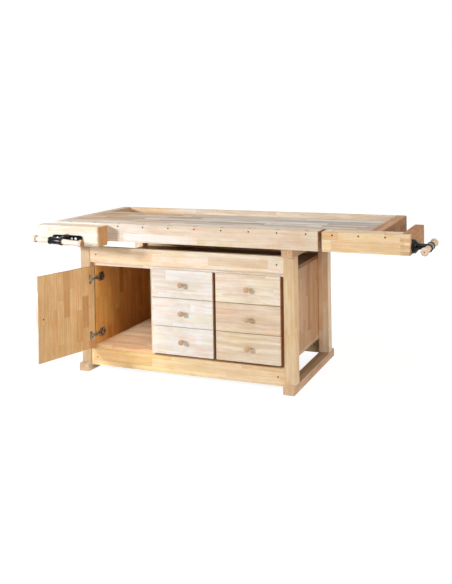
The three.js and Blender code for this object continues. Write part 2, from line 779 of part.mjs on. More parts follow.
function handle(name, axis, centre, shift) {
  const end = HANDLE_LENGTH / 2;
  const cap = HANDLE_CAP_DIAMETER / 2;
  const rod = HANDLE_DIAMETER / 2;
  const half = [[0, end]];
  for (let i = 0; i <= HANDLE_CAP_STEPS; i += 1) {
    const angle = Math.PI / 2 * i / HANDLE_CAP_STEPS;
    const out = HANDLE_CAP_ROUNDING * (1 - Math.sin(angle));
    half.push([cap - out, end - HANDLE_CAP_ROUNDING * (1 - Math.cos(angle))]);
  }
  half.push([cap, end - HANDLE_CAP_LENGTH + HANDLE_CAP_ROUNDING]);
  half.push([rod, end - HANDLE_CAP_LENGTH]);
  const near = half.map(([radius, along]) => [radius, shift - along]);
  const far = half.map(([radius, along]) => [radius, shift + along]).reverse();
  return piece(name, turned(axis, centre, [...near, ...far]), paleBeech);
}

// Front vise: a jaw on a screw and two guide rods

function frontVise() {
  const jawRear = topFront - CLOSING_GAP;
  const jawFront = jawRear - JAW_THICKNESS;
  const jawTop = TOP_HEIGHT - JAW_DROP;
  const halfWidth = JAW_WIDTH / 2;
  const socketFloor = jawRear - GUIDE_SOCKET;
  const screwBore = SCREW_DIAMETER + 2 * RUNNING_GAP;
  const cornerX = halfWidth - JAW_CORNER_RADIUS;
  const cornerY = jawFront + JAW_CORNER_RADIUS;
  const plan = new THREE.Shape();
  plan.moveTo(frontScrewX + halfWidth, jawRear);
  plan.lineTo(frontScrewX - halfWidth, jawRear);
  plan.absarc(frontScrewX - cornerX, cornerY, JAW_CORNER_RADIUS, Math.PI, 3 * Math.PI / 2);
  plan.absarc(frontScrewX + cornerX, cornerY, JAW_CORNER_RADIUS, -Math.PI / 2, 0);
  const jawBlock = prism('xy', plan, jawTop - JAW_HEIGHT, JAW_HEIGHT);
  const jaw = cut(
    jawBlock,
    viseBore(0, screwBore, jawFront - JAW_THICKNESS, jawRear + JAW_THICKNESS),
    ...[-GUIDE_OFFSET, GUIDE_OFFSET].map(
      (x) => viseBore(x, GUIDE_DIAMETER + 2 * JOINT_GAP, socketFloor, jawRear + JAW_THICKNESS),
    ),
  );

  const end = FLANGE_LENGTH / 2 - FLANGE_HEIGHT / 2;
  const outline = new THREE.Shape();
  outline.moveTo(-end, -FLANGE_HEIGHT / 2);
  outline.lineTo(end, -FLANGE_HEIGHT / 2);
  outline.absarc(end, 0, FLANGE_HEIGHT / 2, -Math.PI / 2, Math.PI / 2);
  outline.lineTo(-end, FLANGE_HEIGHT / 2);
  outline.absarc(-end, 0, FLANGE_HEIGHT / 2, Math.PI / 2, 3 * Math.PI / 2);
  const flangeRear = jawFront - JOINT_GAP;
  const bossFront = flangeRear - FLANGE_THICKNESS - FLANGE_BOSS_LENGTH;
  const plate = prism('xz', outline, 0, FLANGE_THICKNESS);
  const boss = viseBore(0, FLANGE_BOSS_DIAMETER, bossFront, flangeRear - FLANGE_THICKNESS / 2);
  const flange = cut(
    join(plate.translate([frontScrewX, flangeRear, frontScrewZ]), boss),
    viseBore(0, screwBore, bossFront - FLANGE_BOSS_LENGTH, jawFront + JAW_THICKNESS),
  );

  const collarRear = bossFront - RUNNING_GAP;
  const collarFront = collarRear - COLLAR_LENGTH;
  const sleeveY = jawFront - FRONT_SLEEVE_REACH;
  const shaft = turned('y', [0, 0, 0], [
    [0, sleeveY],
    [NECK_DIAMETER / 2, sleeveY],
    [NECK_DIAMETER / 2, collarFront],
    [COLLAR_DIAMETER / 2, collarFront],
    [COLLAR_DIAMETER / 2, collarRear],
    [SCREW_DIAMETER / 2, collarRear],
    [SCREW_DIAMETER / 2, frontScrewRear],
    [0, frontScrewRear],
  ]);
  const screw = cut(join(shaft, sleeve('x', [0, sleeveY, 0])), handleBore('x', [0, sleeveY, 0]));
  const turning = group(
    piece('front_vise_screw', screw, blackSteel),
    handle('front_vise_handle', 'x', [0, sleeveY, 0], FRONT_HANDLE_SHIFT),
  );
  turning.position.set(frontScrewX, 0, frontScrewZ);
  turning.rotation.y = THREE.MathUtils.degToRad(FRONT_HANDLE_TILT_DEGREES);

  const tieFront = guideRear - GUIDE_TIE_THICKNESS;
  const tie = block(
    [frontScrewX - GUIDE_OFFSET - GUIDE_DIAMETER / 2, tieFront, frontScrewZ - GUIDE_TIE_HEIGHT / 2],
    [frontScrewX + GUIDE_OFFSET + GUIDE_DIAMETER / 2, guideRear, frontScrewZ + GUIDE_TIE_HEIGHT / 2],
  );
  const rods = [-GUIDE_OFFSET, GUIDE_OFFSET].map(
    (x) => viseBore(x, GUIDE_DIAMETER, socketFloor + JOINT_GAP, tieFront + GUIDE_TIE_THICKNESS / 2),
  );

  const nutReach = GUIDE_OFFSET + GUIDE_DIAMETER / 2 + NUT_WALL;
  const nutTop = slabBottom - JOINT_GAP;
  const nut = cut(
    block(
      [frontScrewX - nutReach, apronRear + JOINT_GAP, nutTop - NUT_HEIGHT],
      [frontScrewX + nutReach, frontNutRear, nutTop],
    ),
    ...viseBores(topFront, frontNutRear + NUT_LENGTH),
  );
  return group(
    piece('front_vise_jaw', jaw, paleBeech),
    piece('front_vise_flange', flange, blackSteel),
    turning,
    piece('front_vise_guides', join(tie, ...rods), brightSteel),
    piece('front_vise_nut', nut, blackSteel),
  );
}

// Tail vise: a beam with dog holes, finger-jointed to an end board that holds the screw

function fingers(gap) {
  const height = APRON_HEIGHT / FINGER_COUNT;
  const made = [];
  for (let i = 1; i < FINGER_COUNT; i += 2) {
    const bottom = apronBottom + i * height;
    const last = i === FINGER_COUNT - 1;
    made.push(block(
      [endBoardLeft - END_BOARD_THICKNESS, topFront, bottom - gap],
      [tailRight, topFront + TAIL_FRONT_WALL + gap, last ? TOP_HEIGHT : bottom + height + gap],
    ));
  }
  return made;
}

function tailVise() {
  const screwY = topFront + TAIL_SCREW_SETBACK;
  const screwZ = TOP_HEIGHT - TAIL_SCREW_DROP;
  const beamRight = endBoardLeft - JOINT_GAP;
  const wallRear = topFront + TAIL_FRONT_WALL;
  const coverBottom = TOP_HEIGHT - TAIL_COVER;
  const body = cut(
    block([tailLeft, topFront, apronBottom], [beamRight, tailRear, TOP_HEIGHT]),
    block(
      [tailLeft + TAIL_JAW_BLOCK, wallRear, apronBottom - APRON_HEIGHT],
      [tailRight, tailRear + APRON_THICKNESS, coverBottom],
    ),
  );
  const tongue = block(
    [tailLeft, tailRear - TONGUE_DEPTH, tongueBottom],
    [beamRight, tailRear + TONGUE_DEPTH, tongueTop],
  );
  const beam = cut(
    join(body, tongue, ...fingers(0)),
    ...dogHoles(tailLeft, TAIL_DOG_FIRST, TAIL_DOG_PITCH, endBoardLeft),
  );

  const screwBore = (start, end) => cylinder(
    'x',
    [0, screwY, screwZ],
    SCREW_DIAMETER + 2 * RUNNING_GAP,
    start,
    end,
    BORE_SIDES,
  );
  const endBoard = cut(
    block(
      [endBoardLeft, topFront, apronBottom],
      [tailRight, topFront + END_BOARD_LENGTH, TOP_HEIGHT],
    ),
    ...fingers(JOINT_GAP),
    screwBore(endBoardLeft - TAIL_LENGTH, tailRight + TAIL_LENGTH),
  );

  const nutLeft = topRight - END_CAP_THICKNESS + JOINT_GAP;
  const nutRight = topRight - JOINT_GAP;
  const nut = cut(
    block(
      [nutLeft, wallRear + TAIL_NUT_CLEARANCE, screwZ - TAIL_NUT_HEIGHT / 2],
      [nutRight, apronRear, screwZ + TAIL_NUT_HEIGHT / 2],
    ),
    screwBore(tailLeft, tailRight),
  );

  const screwLeft = nutLeft - TAIL_OPEN_TRAVEL - SCREW_RUN_OUT;
  const collarLeft = tailRight + JOINT_GAP;
  const collarRight = collarLeft + TAIL_COLLAR_LENGTH;
  const sleeveX = tailRight + TAIL_SLEEVE_REACH;
  const sleeveCentre = [sleeveX, screwY, screwZ];
  const shaft = turned('x', [0, screwY, screwZ], [
    [0, screwLeft],
    [SCREW_DIAMETER / 2, screwLeft],
    [SCREW_DIAMETER / 2, collarLeft],
    [TAIL_COLLAR_DIAMETER / 2, collarLeft],
    [TAIL_COLLAR_DIAMETER / 2, collarRight],
    [NECK_DIAMETER / 2, collarRight + TAIL_COLLAR_TAPER],
    [NECK_DIAMETER / 2, sleeveX],
    [0, sleeveX],
  ]);
  const screw = cut(join(shaft, sleeve('y', sleeveCentre)), handleBore('y', sleeveCentre));
  return group(
    piece('tail_vise_beam', beam, paleBeech),
    piece('tail_vise_end_board', endBoard, beech),
    piece('tail_vise_nut', nut, blackSteel),
    piece('tail_vise_screw', screw, blackSteel),
    handle('tail_vise_handle', 'y', sleeveCentre, TAIL_HANDLE_SHIFT),
  );
}

const bench = group(
  trestle('left', 0),
  trestle('right', FRAME_LENGTH - POST_WIDTH),
  rails(),
  benchTop(),
  cabinet(),
  drawers(),
  door(),
  hingeArms(),
  frontVise(),
  tailVise(),
);

// The origin is the middle of the whole bench's outline on the floor
const outline = new THREE.Box3().setFromObject(bench, true);
const centre = outline.getCenter(new THREE.Vector3());
bench.position.set(-centre.x, -centre.y, -outline.min.z);
bench.updateMatrixWorld(true);

export default bench;
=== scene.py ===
import json
import math

import bmesh
import bpy
from mathutils import Matrix, Vector
from mathutils.geometry import tessellate_polygon

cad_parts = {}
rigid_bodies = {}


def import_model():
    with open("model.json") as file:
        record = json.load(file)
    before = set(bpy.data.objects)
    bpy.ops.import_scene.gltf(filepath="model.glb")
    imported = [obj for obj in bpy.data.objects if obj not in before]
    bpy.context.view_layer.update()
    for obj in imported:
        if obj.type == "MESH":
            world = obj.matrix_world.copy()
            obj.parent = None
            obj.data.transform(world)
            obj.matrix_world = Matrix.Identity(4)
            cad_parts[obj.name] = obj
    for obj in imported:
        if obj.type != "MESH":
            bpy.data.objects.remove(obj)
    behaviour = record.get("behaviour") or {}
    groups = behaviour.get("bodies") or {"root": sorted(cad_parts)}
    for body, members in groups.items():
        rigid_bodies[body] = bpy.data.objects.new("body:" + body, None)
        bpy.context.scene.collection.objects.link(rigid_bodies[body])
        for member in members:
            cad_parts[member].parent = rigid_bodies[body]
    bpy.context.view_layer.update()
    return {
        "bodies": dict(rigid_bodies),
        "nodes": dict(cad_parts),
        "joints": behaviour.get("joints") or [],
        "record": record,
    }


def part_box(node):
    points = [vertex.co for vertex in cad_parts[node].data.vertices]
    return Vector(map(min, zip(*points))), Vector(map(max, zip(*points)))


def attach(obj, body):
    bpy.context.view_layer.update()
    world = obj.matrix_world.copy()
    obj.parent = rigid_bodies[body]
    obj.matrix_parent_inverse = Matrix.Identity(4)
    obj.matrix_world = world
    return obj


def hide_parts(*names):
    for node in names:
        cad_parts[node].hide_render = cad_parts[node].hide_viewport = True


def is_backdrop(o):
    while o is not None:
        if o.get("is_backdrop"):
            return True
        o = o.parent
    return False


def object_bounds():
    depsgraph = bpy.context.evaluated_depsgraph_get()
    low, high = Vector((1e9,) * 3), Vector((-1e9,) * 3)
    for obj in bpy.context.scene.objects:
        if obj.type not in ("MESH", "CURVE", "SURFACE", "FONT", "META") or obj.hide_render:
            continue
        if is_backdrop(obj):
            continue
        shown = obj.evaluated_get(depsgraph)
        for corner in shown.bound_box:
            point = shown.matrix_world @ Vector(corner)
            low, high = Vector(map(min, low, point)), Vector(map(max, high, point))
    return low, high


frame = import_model()
nodes = frame["nodes"]
scene = bpy.context.scene

# Bench coordinates in millimetres: X from the left trestle's outer face, Y from the posts' front
# face, Z from the floor.
MM = 0.001
FOOT_TOE = 31
foot_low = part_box("left_foot")[0]
ORIGIN = Vector((foot_low.x, foot_low.y + FOOT_TOE * MM, 0))


def at(x, y, z):
    return ORIGIN + Vector((x, y, z)) * MM


BENCH = Matrix.Translation(ORIGIN) @ Matrix.Scale(MM, 4)

# The door stands open about its hinge line
DOOR_PIN = Vector((69.5, 5, 0))
DOOR_ANGLE = math.radians(106)
DOOR_ROTATION = Matrix.Rotation(-DOOR_ANGLE, 4, "Z")
DOOR_TURN = Matrix.Translation(at(*DOOR_PIN)) @ DOOR_ROTATION
DOOR_FRAME = BENCH @ Matrix.Translation(DOOR_PIN) @ DOOR_ROTATION

DRAWERS = [f"{c}_{r}_drawer" for c in ("left", "right") for r in ("bottom", "middle", "top")]


def srgb(red, green, blue):
    def linear(value):
        value /= 255
        return value / 12.92 if value <= 0.04045 else ((value + 0.055) / 1.055) ** 2.4

    return (linear(red), linear(green), linear(blue), 1)


# Node trees


class Tree:
    """Short calls for building a node tree."""

    def __init__(self, tree):
        self.tree = tree

    def add(self, kind, inputs=(), **settings):
        node = self.tree.nodes.new(kind)
        for key, value in settings.items():
            setattr(node, key, value)
        for key, value in dict(inputs).items():
            self.put(node.inputs[key], value)
        return node

    def put(self, socket, value):
        if isinstance(value, bpy.types.NodeSocket):
            self.tree.links.new(value, socket)
        else:
            socket.default_value = value

    def math(self, operation, *values, clamp=False):
        node = self.add("ShaderNodeMath", enumerate(values), operation=operation, use_clamp=clamp)
        return node.outputs[0]

    def vector(self, operation, *values):
        node = self.add("ShaderNodeVectorMath", enumerate(values), operation=operation)
        return node.outputs[0]

    def split(self, vector):
        return self.add("ShaderNodeSeparateXYZ", {0: vector}).outputs

    def merge(self, x, y, z):
        return self.add("ShaderNodeCombineXYZ", {0: x, 1: y, 2: z}).outputs[0]

    def noise(self, vector, scale, detail=2.0, roughness=0.5):
        inputs = {"Vector": vector, "Scale": scale, "Detail": detail, "Roughness": roughness}
        return self.add("ShaderNodeTexNoise", inputs).outputs[0]

    def step(self, value, low, high, out_low=0.0, out_high=1.0):
        inputs = {0: value, 1: low, 2: high, 3: out_low, 4: out_high}
        node = self.add("ShaderNodeMapRange", inputs, interpolation_type="SMOOTHSTEP")
        return node.outputs[0]

    def ramp(self, value, stops):
        node = self.add("ShaderNodeValToRGB", {0: value})
        elements = node.color_ramp.elements
        while len(elements) < len(stops):
            elements.new(0.5)
        for element, (position, colour) in zip(elements, stops):
            element.position = position
            element.color = colour
        return node.outputs[0]

    def mix(self, factor, first, second, blend="MIX"):
        node = self.add("ShaderNodeMix", data_type="RGBA", blend_type=blend)
        self.put(node.inputs[0], factor)
        self.put(node.inputs[6], first)
        self.put(node.inputs[7], second)
        return node.outputs[2]


def new_material(name):
    material = bpy.data.materials.new(name)
    material.use_nodes = True
    tree = Tree(material.node_tree)
    shader = next(n for n in material.node_tree.nodes if n.type == "BSDF_PRINCIPLED")
    return material, tree, shader


def make_wood_figure():
    """A solid texture of laminated, finger-jointed hardwood. Its vector runs along the grain, across
    the strips and through the layers."""
    group = bpy.data.node_groups.new("wood_figure", "ShaderNodeTree")
    face = group.interface
    face.new_socket("Vector", in_out="INPUT", socket_type="NodeSocketVector")
    for name in ("Width", "Layer", "Length", "Rings", "Seed"):
        face.new_socket(name, in_out="INPUT", socket_type="NodeSocketFloat")
    for name in ("Tone", "Hue", "Grain", "Pore", "Seam", "Blush"):
        face.new_socket(name, in_out="OUTPUT", socket_type="NodeSocketFloat")
    t = Tree(group)
    given = t.add("NodeGroupInput").outputs
    along, across, deep = t.split(given["Vector"])
    seed = given["Seed"]

    row = t.math("ADD", t.math("DIVIDE", across, given["Width"]), t.math("MULTIPLY", seed, 0.37))
    layer = t.math("ADD", t.math("DIVIDE", deep, given["Layer"]), t.math("MULTIPLY", seed, 0.21))
    row_index = t.math("FLOOR", row)
    layer_index = t.math("FLOOR", layer)
    row_key = t.merge(row_index, layer_index, seed)
    row_random = t.add("ShaderNodeTexWhiteNoise", {"Vector": row_key}).outputs["Value"]
    length = t.math("MULTIPLY", given["Length"], t.math("MULTIPLY_ADD", row_random, 0.7, 0.65))
    block = t.math("MULTIPLY_ADD", row_random, 17.3, t.math("DIVIDE", along, length))
    block_index = t.math("FLOOR", block)
    block_key = t.merge(row_index, block_index, t.math("MULTIPLY_ADD", seed, 7.1, layer_index))
    drawn = t.add("ShaderNodeTexWhiteNoise", {"Vector": block_key})
    tone, hue, slope = t.split(drawn.outputs["Color"])

    own = t.vector("MULTIPLY_ADD", drawn.outputs["Color"], (5.0, 5.0, 5.0), given["Vector"])
    waver = t.noise(t.vector("MULTIPLY", own, (3.0, 16.0, 16.0)), 1.0, 2.0)
    lean = t.math("MULTIPLY", t.math("SUBTRACT", slope, 0.5), 0.11)
    side = t.math("ADD", across, t.math("MULTIPLY", along, lean))
    side = t.math("ADD", side, t.math("MULTIPLY", t.math("SUBTRACT", hue, 0.5), 0.16))
    heart = t.math("ADD", deep, t.math("MULTIPLY_ADD", tone, 0.09, 0.03))
    side_part = t.math("MULTIPLY", side, side)
    heart_part = t.math("MULTIPLY", heart, heart)
    radius = t.math("SQRT", t.math("ADD", side_part, heart_part))
    swing = t.math("DIVIDE", 3.4, given["Rings"])
    radius = t.math("ADD", radius, t.math("MULTIPLY", t.math("SUBTRACT", waver, 0.5), swing))
    rings = t.add(
        "ShaderNodeTexNoise", {"W": radius, "Scale": given["Rings"], "Detail": 1.5}, noise_dimensions="1D"
    ).outputs[0]
    streak = t.noise(t.vector("MULTIPLY", own, (1.8, 60.0, 60.0)), 1.0, 3.0, 0.6)
    fibre = t.noise(t.vector("MULTIPLY", own, (14.0, 520.0, 520.0)), 1.0, 2.0)
    mottle = t.noise(t.vector("MULTIPLY", own, (6.0, 16.0, 16.0)), 1.0, 2.0, 0.6)
    blush = t.noise(t.vector("MULTIPLY", own, (5.0, 11.0, 11.0)), 1.0, 2.0, 0.6)
    grain = t.math("MULTIPLY", rings, 0.3)
    grain = t.math("MULTIPLY_ADD", streak, 0.32, grain)
    grain = t.math("MULTIPLY_ADD", fibre, 0.08, grain)
    grain = t.math("MULTIPLY_ADD", mottle, 0.3, grain)
    grain = t.step(grain, 0.37, 0.63)
    dash = t.noise(t.vector("MULTIPLY", own, (95.0, 1500.0, 1500.0)), 1.0, 1.0)
    pore = t.step(dash, 0.6, 0.72)

    def near_line(position, size):
        part = t.math("FRACT", position)
        away = t.math("MULTIPLY", t.math("MINIMUM", part, t.math("SUBTRACT", 1.0, part)), size)
        return t.step(away, 0.0001, 0.0007, 1.0, 0.0)

    seam = t.math("MAXIMUM", near_line(row, given["Width"]), near_line(block, length))
    made = t.add("NodeGroupOutput")
    results = {"Tone": tone, "Hue": hue, "Grain": grain, "Pore": pore, "Seam": seam, "Blush": blush}
    for name, value in results.items():
        t.put(made.inputs[name], value)
    return group


WOOD_FIGURE = make_wood_figure()

# Colours of the blocks in each kind of wood, from the rarest dark to the rarest reddish one. Some of them are painted
# light or shade for the faces or parts they cover, as said where they are used.
TONE_STOPS = (0.0, 0.1, 0.35, 0.7, 0.92, 1.0)
WHITISH = [(239, 228, 215), (242, 234, 225), (244, 237, 229), (243, 236, 227), (241, 232, 222), (237, 224, 210)]
PALE = [(227, 218, 208), (232, 227, 223), (234, 231, 229), (233, 229, 226), (231, 225, 220), (226, 213, 203)]
TAN = [(213, 193, 170), (223, 209, 191), (226, 215, 198), (224, 212, 194), (221, 204, 185), (212, 190, 167)]
FRAME = [(215, 184, 143), (227, 204, 169), (231, 212, 180), (229, 208, 174), (225, 198, 162), (213, 177, 139)]
RAIL_LEFT_PAINTED_LIGHT = [(227, 196, 143), (237, 212, 161), (241, 221, 173), (239, 217, 167), (235, 208, 154), (226, 191, 138)]
WARM = [(209, 163, 114), (223, 186, 137), (231, 199, 154), (227, 193, 146), (215, 173, 124), (184, 129, 87)]
POST_SIDES_PAINTED_LIGHT = [(221, 180, 137), (236, 207, 170), (244, 221, 190), (236, 209, 174), (232, 197, 161), (217, 174, 135)]
REAR_POSTS_PAINTED_LIGHT = [(232, 198, 162), (246, 224, 197), (252, 236, 216), (246, 226, 199), (242, 214, 186), (228, 192, 160)]
POST_FRONTS = [(202, 170, 126), (214, 189, 152), (220, 201, 170), (218, 197, 163), (214, 187, 157), (198, 164, 130)]
FEET = [(204, 170, 134), (214, 196, 170), (221, 208, 188), (216, 198, 174), (210, 186, 160), (200, 164, 132)]
FOOT_SIDE_PAINTED_SHADE = [(196, 150, 108), (210, 174, 138), (217, 184, 152), (212, 176, 140), (206, 164, 128), (194, 144, 104)]
TAIL_BEAM = [(223, 193, 152), (236, 214, 179), (240, 222, 191), (238, 218, 185), (234, 207, 172), (221, 185, 148)]
FRONTS = [(222, 217, 208), (227, 225, 223), (229, 229, 229), (228, 227, 226), (226, 223, 220), (221, 212, 203)]
LEFT_POSTS = [(193, 159, 116), (204, 177, 140), (210, 188, 157), (208, 184, 151), (204, 175, 145), (189, 153, 120)]
DOOR_FRONT = [(188, 156, 116), (199, 173, 140), (204, 185, 158), (202, 181, 151), (199, 172, 145), (184, 151, 120)]
RAIL_PAINTED_JAW_SHADE = [(217, 183, 146), (236, 213, 182), (245, 228, 202), (239, 217, 187), (232, 203, 173), (217, 181, 146)]
RAIL_CLEAR = [(225, 205, 179), (234, 220, 199), (240, 229, 213), (236, 223, 205), (232, 216, 194), (223, 201, 175)]
SIDES_WARM = [(187, 145, 108), (199, 160, 123), (207, 170, 133), (203, 164, 128), (195, 152, 116), (180, 131, 95)]
INSIDE_PAINTED_SHADE = [(234, 170, 95), (247, 185, 108), (254, 198, 119), (251, 191, 112), (241, 174, 99), (226, 156, 86)]
SHADED = [(132, 92, 60), (148, 106, 70), (156, 114, 76), (150, 108, 72), (142, 100, 66), (128, 88, 58)]
TOP = [(143, 103, 64), (177, 137, 89), (234, 204, 153), (213, 179, 129), (174, 135, 91), (145, 108, 67)]
TOP_PAINTED_SHEEN = [(143, 128, 114), (175, 163, 153), (225, 227, 227), (208, 203, 198), (173, 163, 155), (145, 133, 120)]
BROWN = [(164, 119, 79), (177, 134, 92), (185, 142, 99), (179, 135, 93), (169, 124, 85), (156, 110, 73)]
DULL = [(139, 97, 59), (150, 108, 67), (157, 115, 74), (152, 110, 69), (143, 100, 62), (133, 90, 55)]
MILD = [(226, 213, 196), (231, 224, 212), (234, 228, 218), (232, 225, 215), (229, 220, 207), (223, 208, 190)]
LIT = [(236, 202, 160), (246, 219, 181), (250, 227, 193), (248, 223, 187), (244, 211, 171), (230, 189, 147)]
KNOBS = [(190, 166, 141), (198, 176, 154), (204, 185, 164), (200, 178, 157), (192, 168, 146), (184, 157, 135)]
TURNED = [(226, 196, 158), (232, 206, 170), (236, 212, 178), (233, 207, 171), (228, 199, 162), (222, 190, 152)]
RUDDY = [(210, 158, 114), (218, 168, 122), (224, 176, 130), (218, 168, 124), (212, 160, 116), (204, 150, 108)]
GRAIN_DARK = srgb(220, 203, 182)
PORE_DARK = srgb(176, 138, 102)
SEAM_DARK = srgb(140, 100, 68)
WHITE = (1, 1, 1, 1)
# Patches of yellower and pinker wood
BLUSH_STOPS = [(0.36, srgb(252, 247, 232)), (0.5, WHITE), (0.64, srgb(254, 242, 232))]


def wood(name, grain, across, width, layer, length, palette, seed=0.0, turn=None, figure=0.55, seam=0.25,
         rings=170.0, rough=(0.4, 0.52), gloss=0.25, end=(238, 216, 194), changes=()):
    """Wood whose grain runs along one axis, in strips across another. turn is a node's own matrix, end
    the tint of end grain, and changes are further palettes with the axis, start and end of the passage to each."""
    material, t, shader = new_material(name)
    coordinates = t.add("ShaderNodeTexCoord").outputs
    place, normal = coordinates["Object"], coordinates["Normal"]
    if turn is not None:
        angle = -turn.to_euler().z
        centre = turn.translation
        place = t.add("ShaderNodeVectorRotate", {0: place, 1: centre, 3: angle}, rotation_type="Z_AXIS").outputs[0]
        normal = t.add("ShaderNodeVectorRotate", {0: normal, 3: angle}, rotation_type="Z_AXIS").outputs[0]
    axes = "xyz"
    order = [axes.index(grain), axes.index(across)]
    order.append(3 - sum(order))
    parts = t.split(place)
    vector = t.merge(*[parts[i] for i in order])
    inputs = {"Vector": vector, "Width": width, "Layer": layer, "Length": length, "Rings": rings, "Seed": seed}
    made = t.add("ShaderNodeGroup", node_tree=WOOD_FIGURE)
    for key, value in inputs.items():
        t.put(made.inputs[key], value)
    out = made.outputs
    colour = t.ramp(out["Tone"], [(p, srgb(*c)) for p, c in zip(TONE_STOPS, palette)])
    for other, axis, start, stop in changes:
        second = t.ramp(out["Tone"], [(p, srgb(*c)) for p, c in zip(TONE_STOPS, other)])
        own_shift = t.math("SUBTRACT", out["Hue"], 0.5)
        drift = t.math("MULTIPLY_ADD", own_shift, (stop - start) * 0.5, parts[axes.index(axis)])
        colour = t.mix(t.step(drift, start, stop), colour, second)
    colour = t.mix(1.0, colour, t.ramp(out["Blush"], BLUSH_STOPS), "MULTIPLY")
    darker = t.mix(out["Grain"], GRAIN_DARK, WHITE)
    colour = t.mix(figure, colour, darker, "MULTIPLY")
    colour = t.mix(t.math("MULTIPLY", out["Pore"], 0.45), colour, PORE_DARK, "MULTIPLY")
    colour = t.mix(t.math("MULTIPLY", out["Seam"], seam), colour, SEAM_DARK, "MULTIPLY")
    facing = t.step(t.math("ABSOLUTE", t.split(normal)[order[0]]), 0.25, 0.85)
    colour = t.mix(facing, colour, srgb(*end), "MULTIPLY")
    t.put(shader.inputs["Base Color"], colour)
    t.put(shader.inputs["Roughness"], t.step(out["Grain"], 0.0, 1.0, rough[1], rough[0]))
    height = t.math("MULTIPLY_ADD", out["Pore"], -0.6, out["Grain"])
    height = t.math("SUBTRACT", height, out["Seam"])
    bump = t.add("ShaderNodeBump", {"Height": height, "Strength": 0.12, "Distance": 0.0006})
    t.put(shader.inputs["Normal"], bump.outputs[0])
    shader.inputs["Specular IOR Level"].default_value = gloss
    return material


def black_steel():
    material, t, shader = new_material("black_steel_paint")
    place = t.add("ShaderNodeTexCoord").outputs["Object"]
    cast = t.noise(place, 900.0, 3.0, 0.6)
    patch = t.noise(place, 60.0, 2.0)
    colour = t.ramp(patch, [(0.3, (0.002, 0.002, 0.0024, 1)), (0.7, (0.006, 0.006, 0.007, 1))])
    t.put(shader.inputs["Base Color"], colour)
    t.put(shader.inputs["Roughness"], t.step(patch, 0.2, 0.8, 0.16, 0.24))
    shader.inputs["Specular IOR Level"].default_value = 0.2
    bump = t.add("ShaderNodeBump", {"Height": cast, "Strength": 0.08, "Distance": 0.0004})
    t.put(shader.inputs["Normal"], bump.outputs[0])
    return material


def bright_steel(name, light, dark, low, high):
    material, t, shader = new_material(name)
    place = t.add("ShaderNodeTexCoord").outputs["Object"]
    brushed = t.noise(t.vector("MULTIPLY", place, (900.0, 900.0, 120.0)), 1.0, 3.0, 0.6)
    patch = t.noise(place, 130.0, 2.0)
    t.put(shader.inputs["Base Color"], t.ramp(patch, [(0.3, dark), (0.7, light)]))
    t.put(shader.inputs["Roughness"], t.step(brushed, 0.2, 0.8, low, high))
    bump = t.add("ShaderNodeBump", {"Height": brushed, "Strength": 0.08, "Distance": 0.0002})
    t.put(shader.inputs["Normal"], bump.outputs[0])
    shader.inputs["Metallic"].default_value = 1
    return material


BLACK = black_steel()
STEEL = bright_steel("plated_steel", (0.82, 0.82, 0.83, 1), (0.6, 0.6, 0.62, 1), 0.2, 0.36)
BRIGHT = bright_steel("polished_steel", (0.95, 0.95, 0.96, 1), (0.85, 0.85, 0.87, 1), 0.25, 0.4)
HINGE = bright_steel("hinge_steel", (0.86, 0.83, 0.79, 1), (0.2, 0.18, 0.16, 1), 0.2, 0.36)
ZINC = bright_steel("dark_zinc", (0.12, 0.12, 0.125, 1), (0.05, 0.05, 0.055, 1), 0.35, 0.5)

# Every post face behind the front face is paler: painted light on faces the lamps reach less. The rear posts are paler
# still: painted light under the slab's shade.
POST = wood("post_wood", "z", "x", 0.031, 0.06, 0.7, LEFT_POSTS, 1.0,
            changes=[(POST_FRONTS, "x", at(300, 0, 0).x, at(600, 0, 0).x), (POST_SIDES_PAINTED_LIGHT, "y", at(0, 1, 0).y, at(0, 6, 0).y), (REAR_POSTS_PAINTED_LIGHT, "y", at(0, 600, 0).y, at(0, 610, 0).y)])
# The rails are brighter and yellower at the left: painted light where the open door shades the lower rail.
RAIL = wood("rail_wood", "x", "z", 0.047, 0.04, 0.42, RAIL_LEFT_PAINTED_LIGHT, 2.0, changes=[(FRAME, "x", at(300, 0, 0).x, at(900, 0, 0).x)])
# The upper rail's left part, where the jaw's shadow falls, has its own warmer palette matched to that shade: painted
# shade.
UPPER_RAIL = wood("upper_rail_wood", "x", "z", 0.047, 0.04, 0.42, RAIL_PAINTED_JAW_SHADE, 25.0, changes=[(RAIL_CLEAR, "x", at(250, 0, 0).x, at(1000, 0, 0).x)])
# The outer face of the right foot and bearer is browner: painted shade.
FOOT = wood("foot_wood", "y", "x", 0.031, 0.05, 0.5, FEET, 3.0, end=(248, 236, 226),
            changes=[(FOOT_SIDE_PAINTED_SHADE, "x", at(1302.4, 0, 0).x, at(1303.4, 0, 0).x)])
APRON = wood("apron_wood", "x", "z", 0.052, 0.055, 0.4, PALE, 4.0, changes=[(TAN, "x", at(150, 0, 0).x, at(1050, 0, 0).x)])
# The slab turns greyer towards the right: painted sheen of the backdrop's reflection.
SLAB = wood("slab_wood", "x", "y", 0.045, 0.06, 0.34, TOP, 5.0, figure=0.9, rough=(0.34, 0.46), gloss=0.5, seam=0.5,
            changes=[(TOP_PAINTED_SHEEN, "x", at(-100, 0, 0).x, at(900, 0, 0).x)])
BACK_BOARD = wood("rear_board_wood", "x", "z", 0.05, 0.04, 0.45, FRAME, 6.0,
                  changes=[(MILD, "x", at(50, 0, 0).x, at(450, 0, 0).x), (TAN, "x", at(900, 0, 0).x, at(1500, 0, 0).x)])
LEFT_CAP = wood("left_cap_wood", "y", "z", 0.05, 0.06, 0.4, TAN, 30.0)
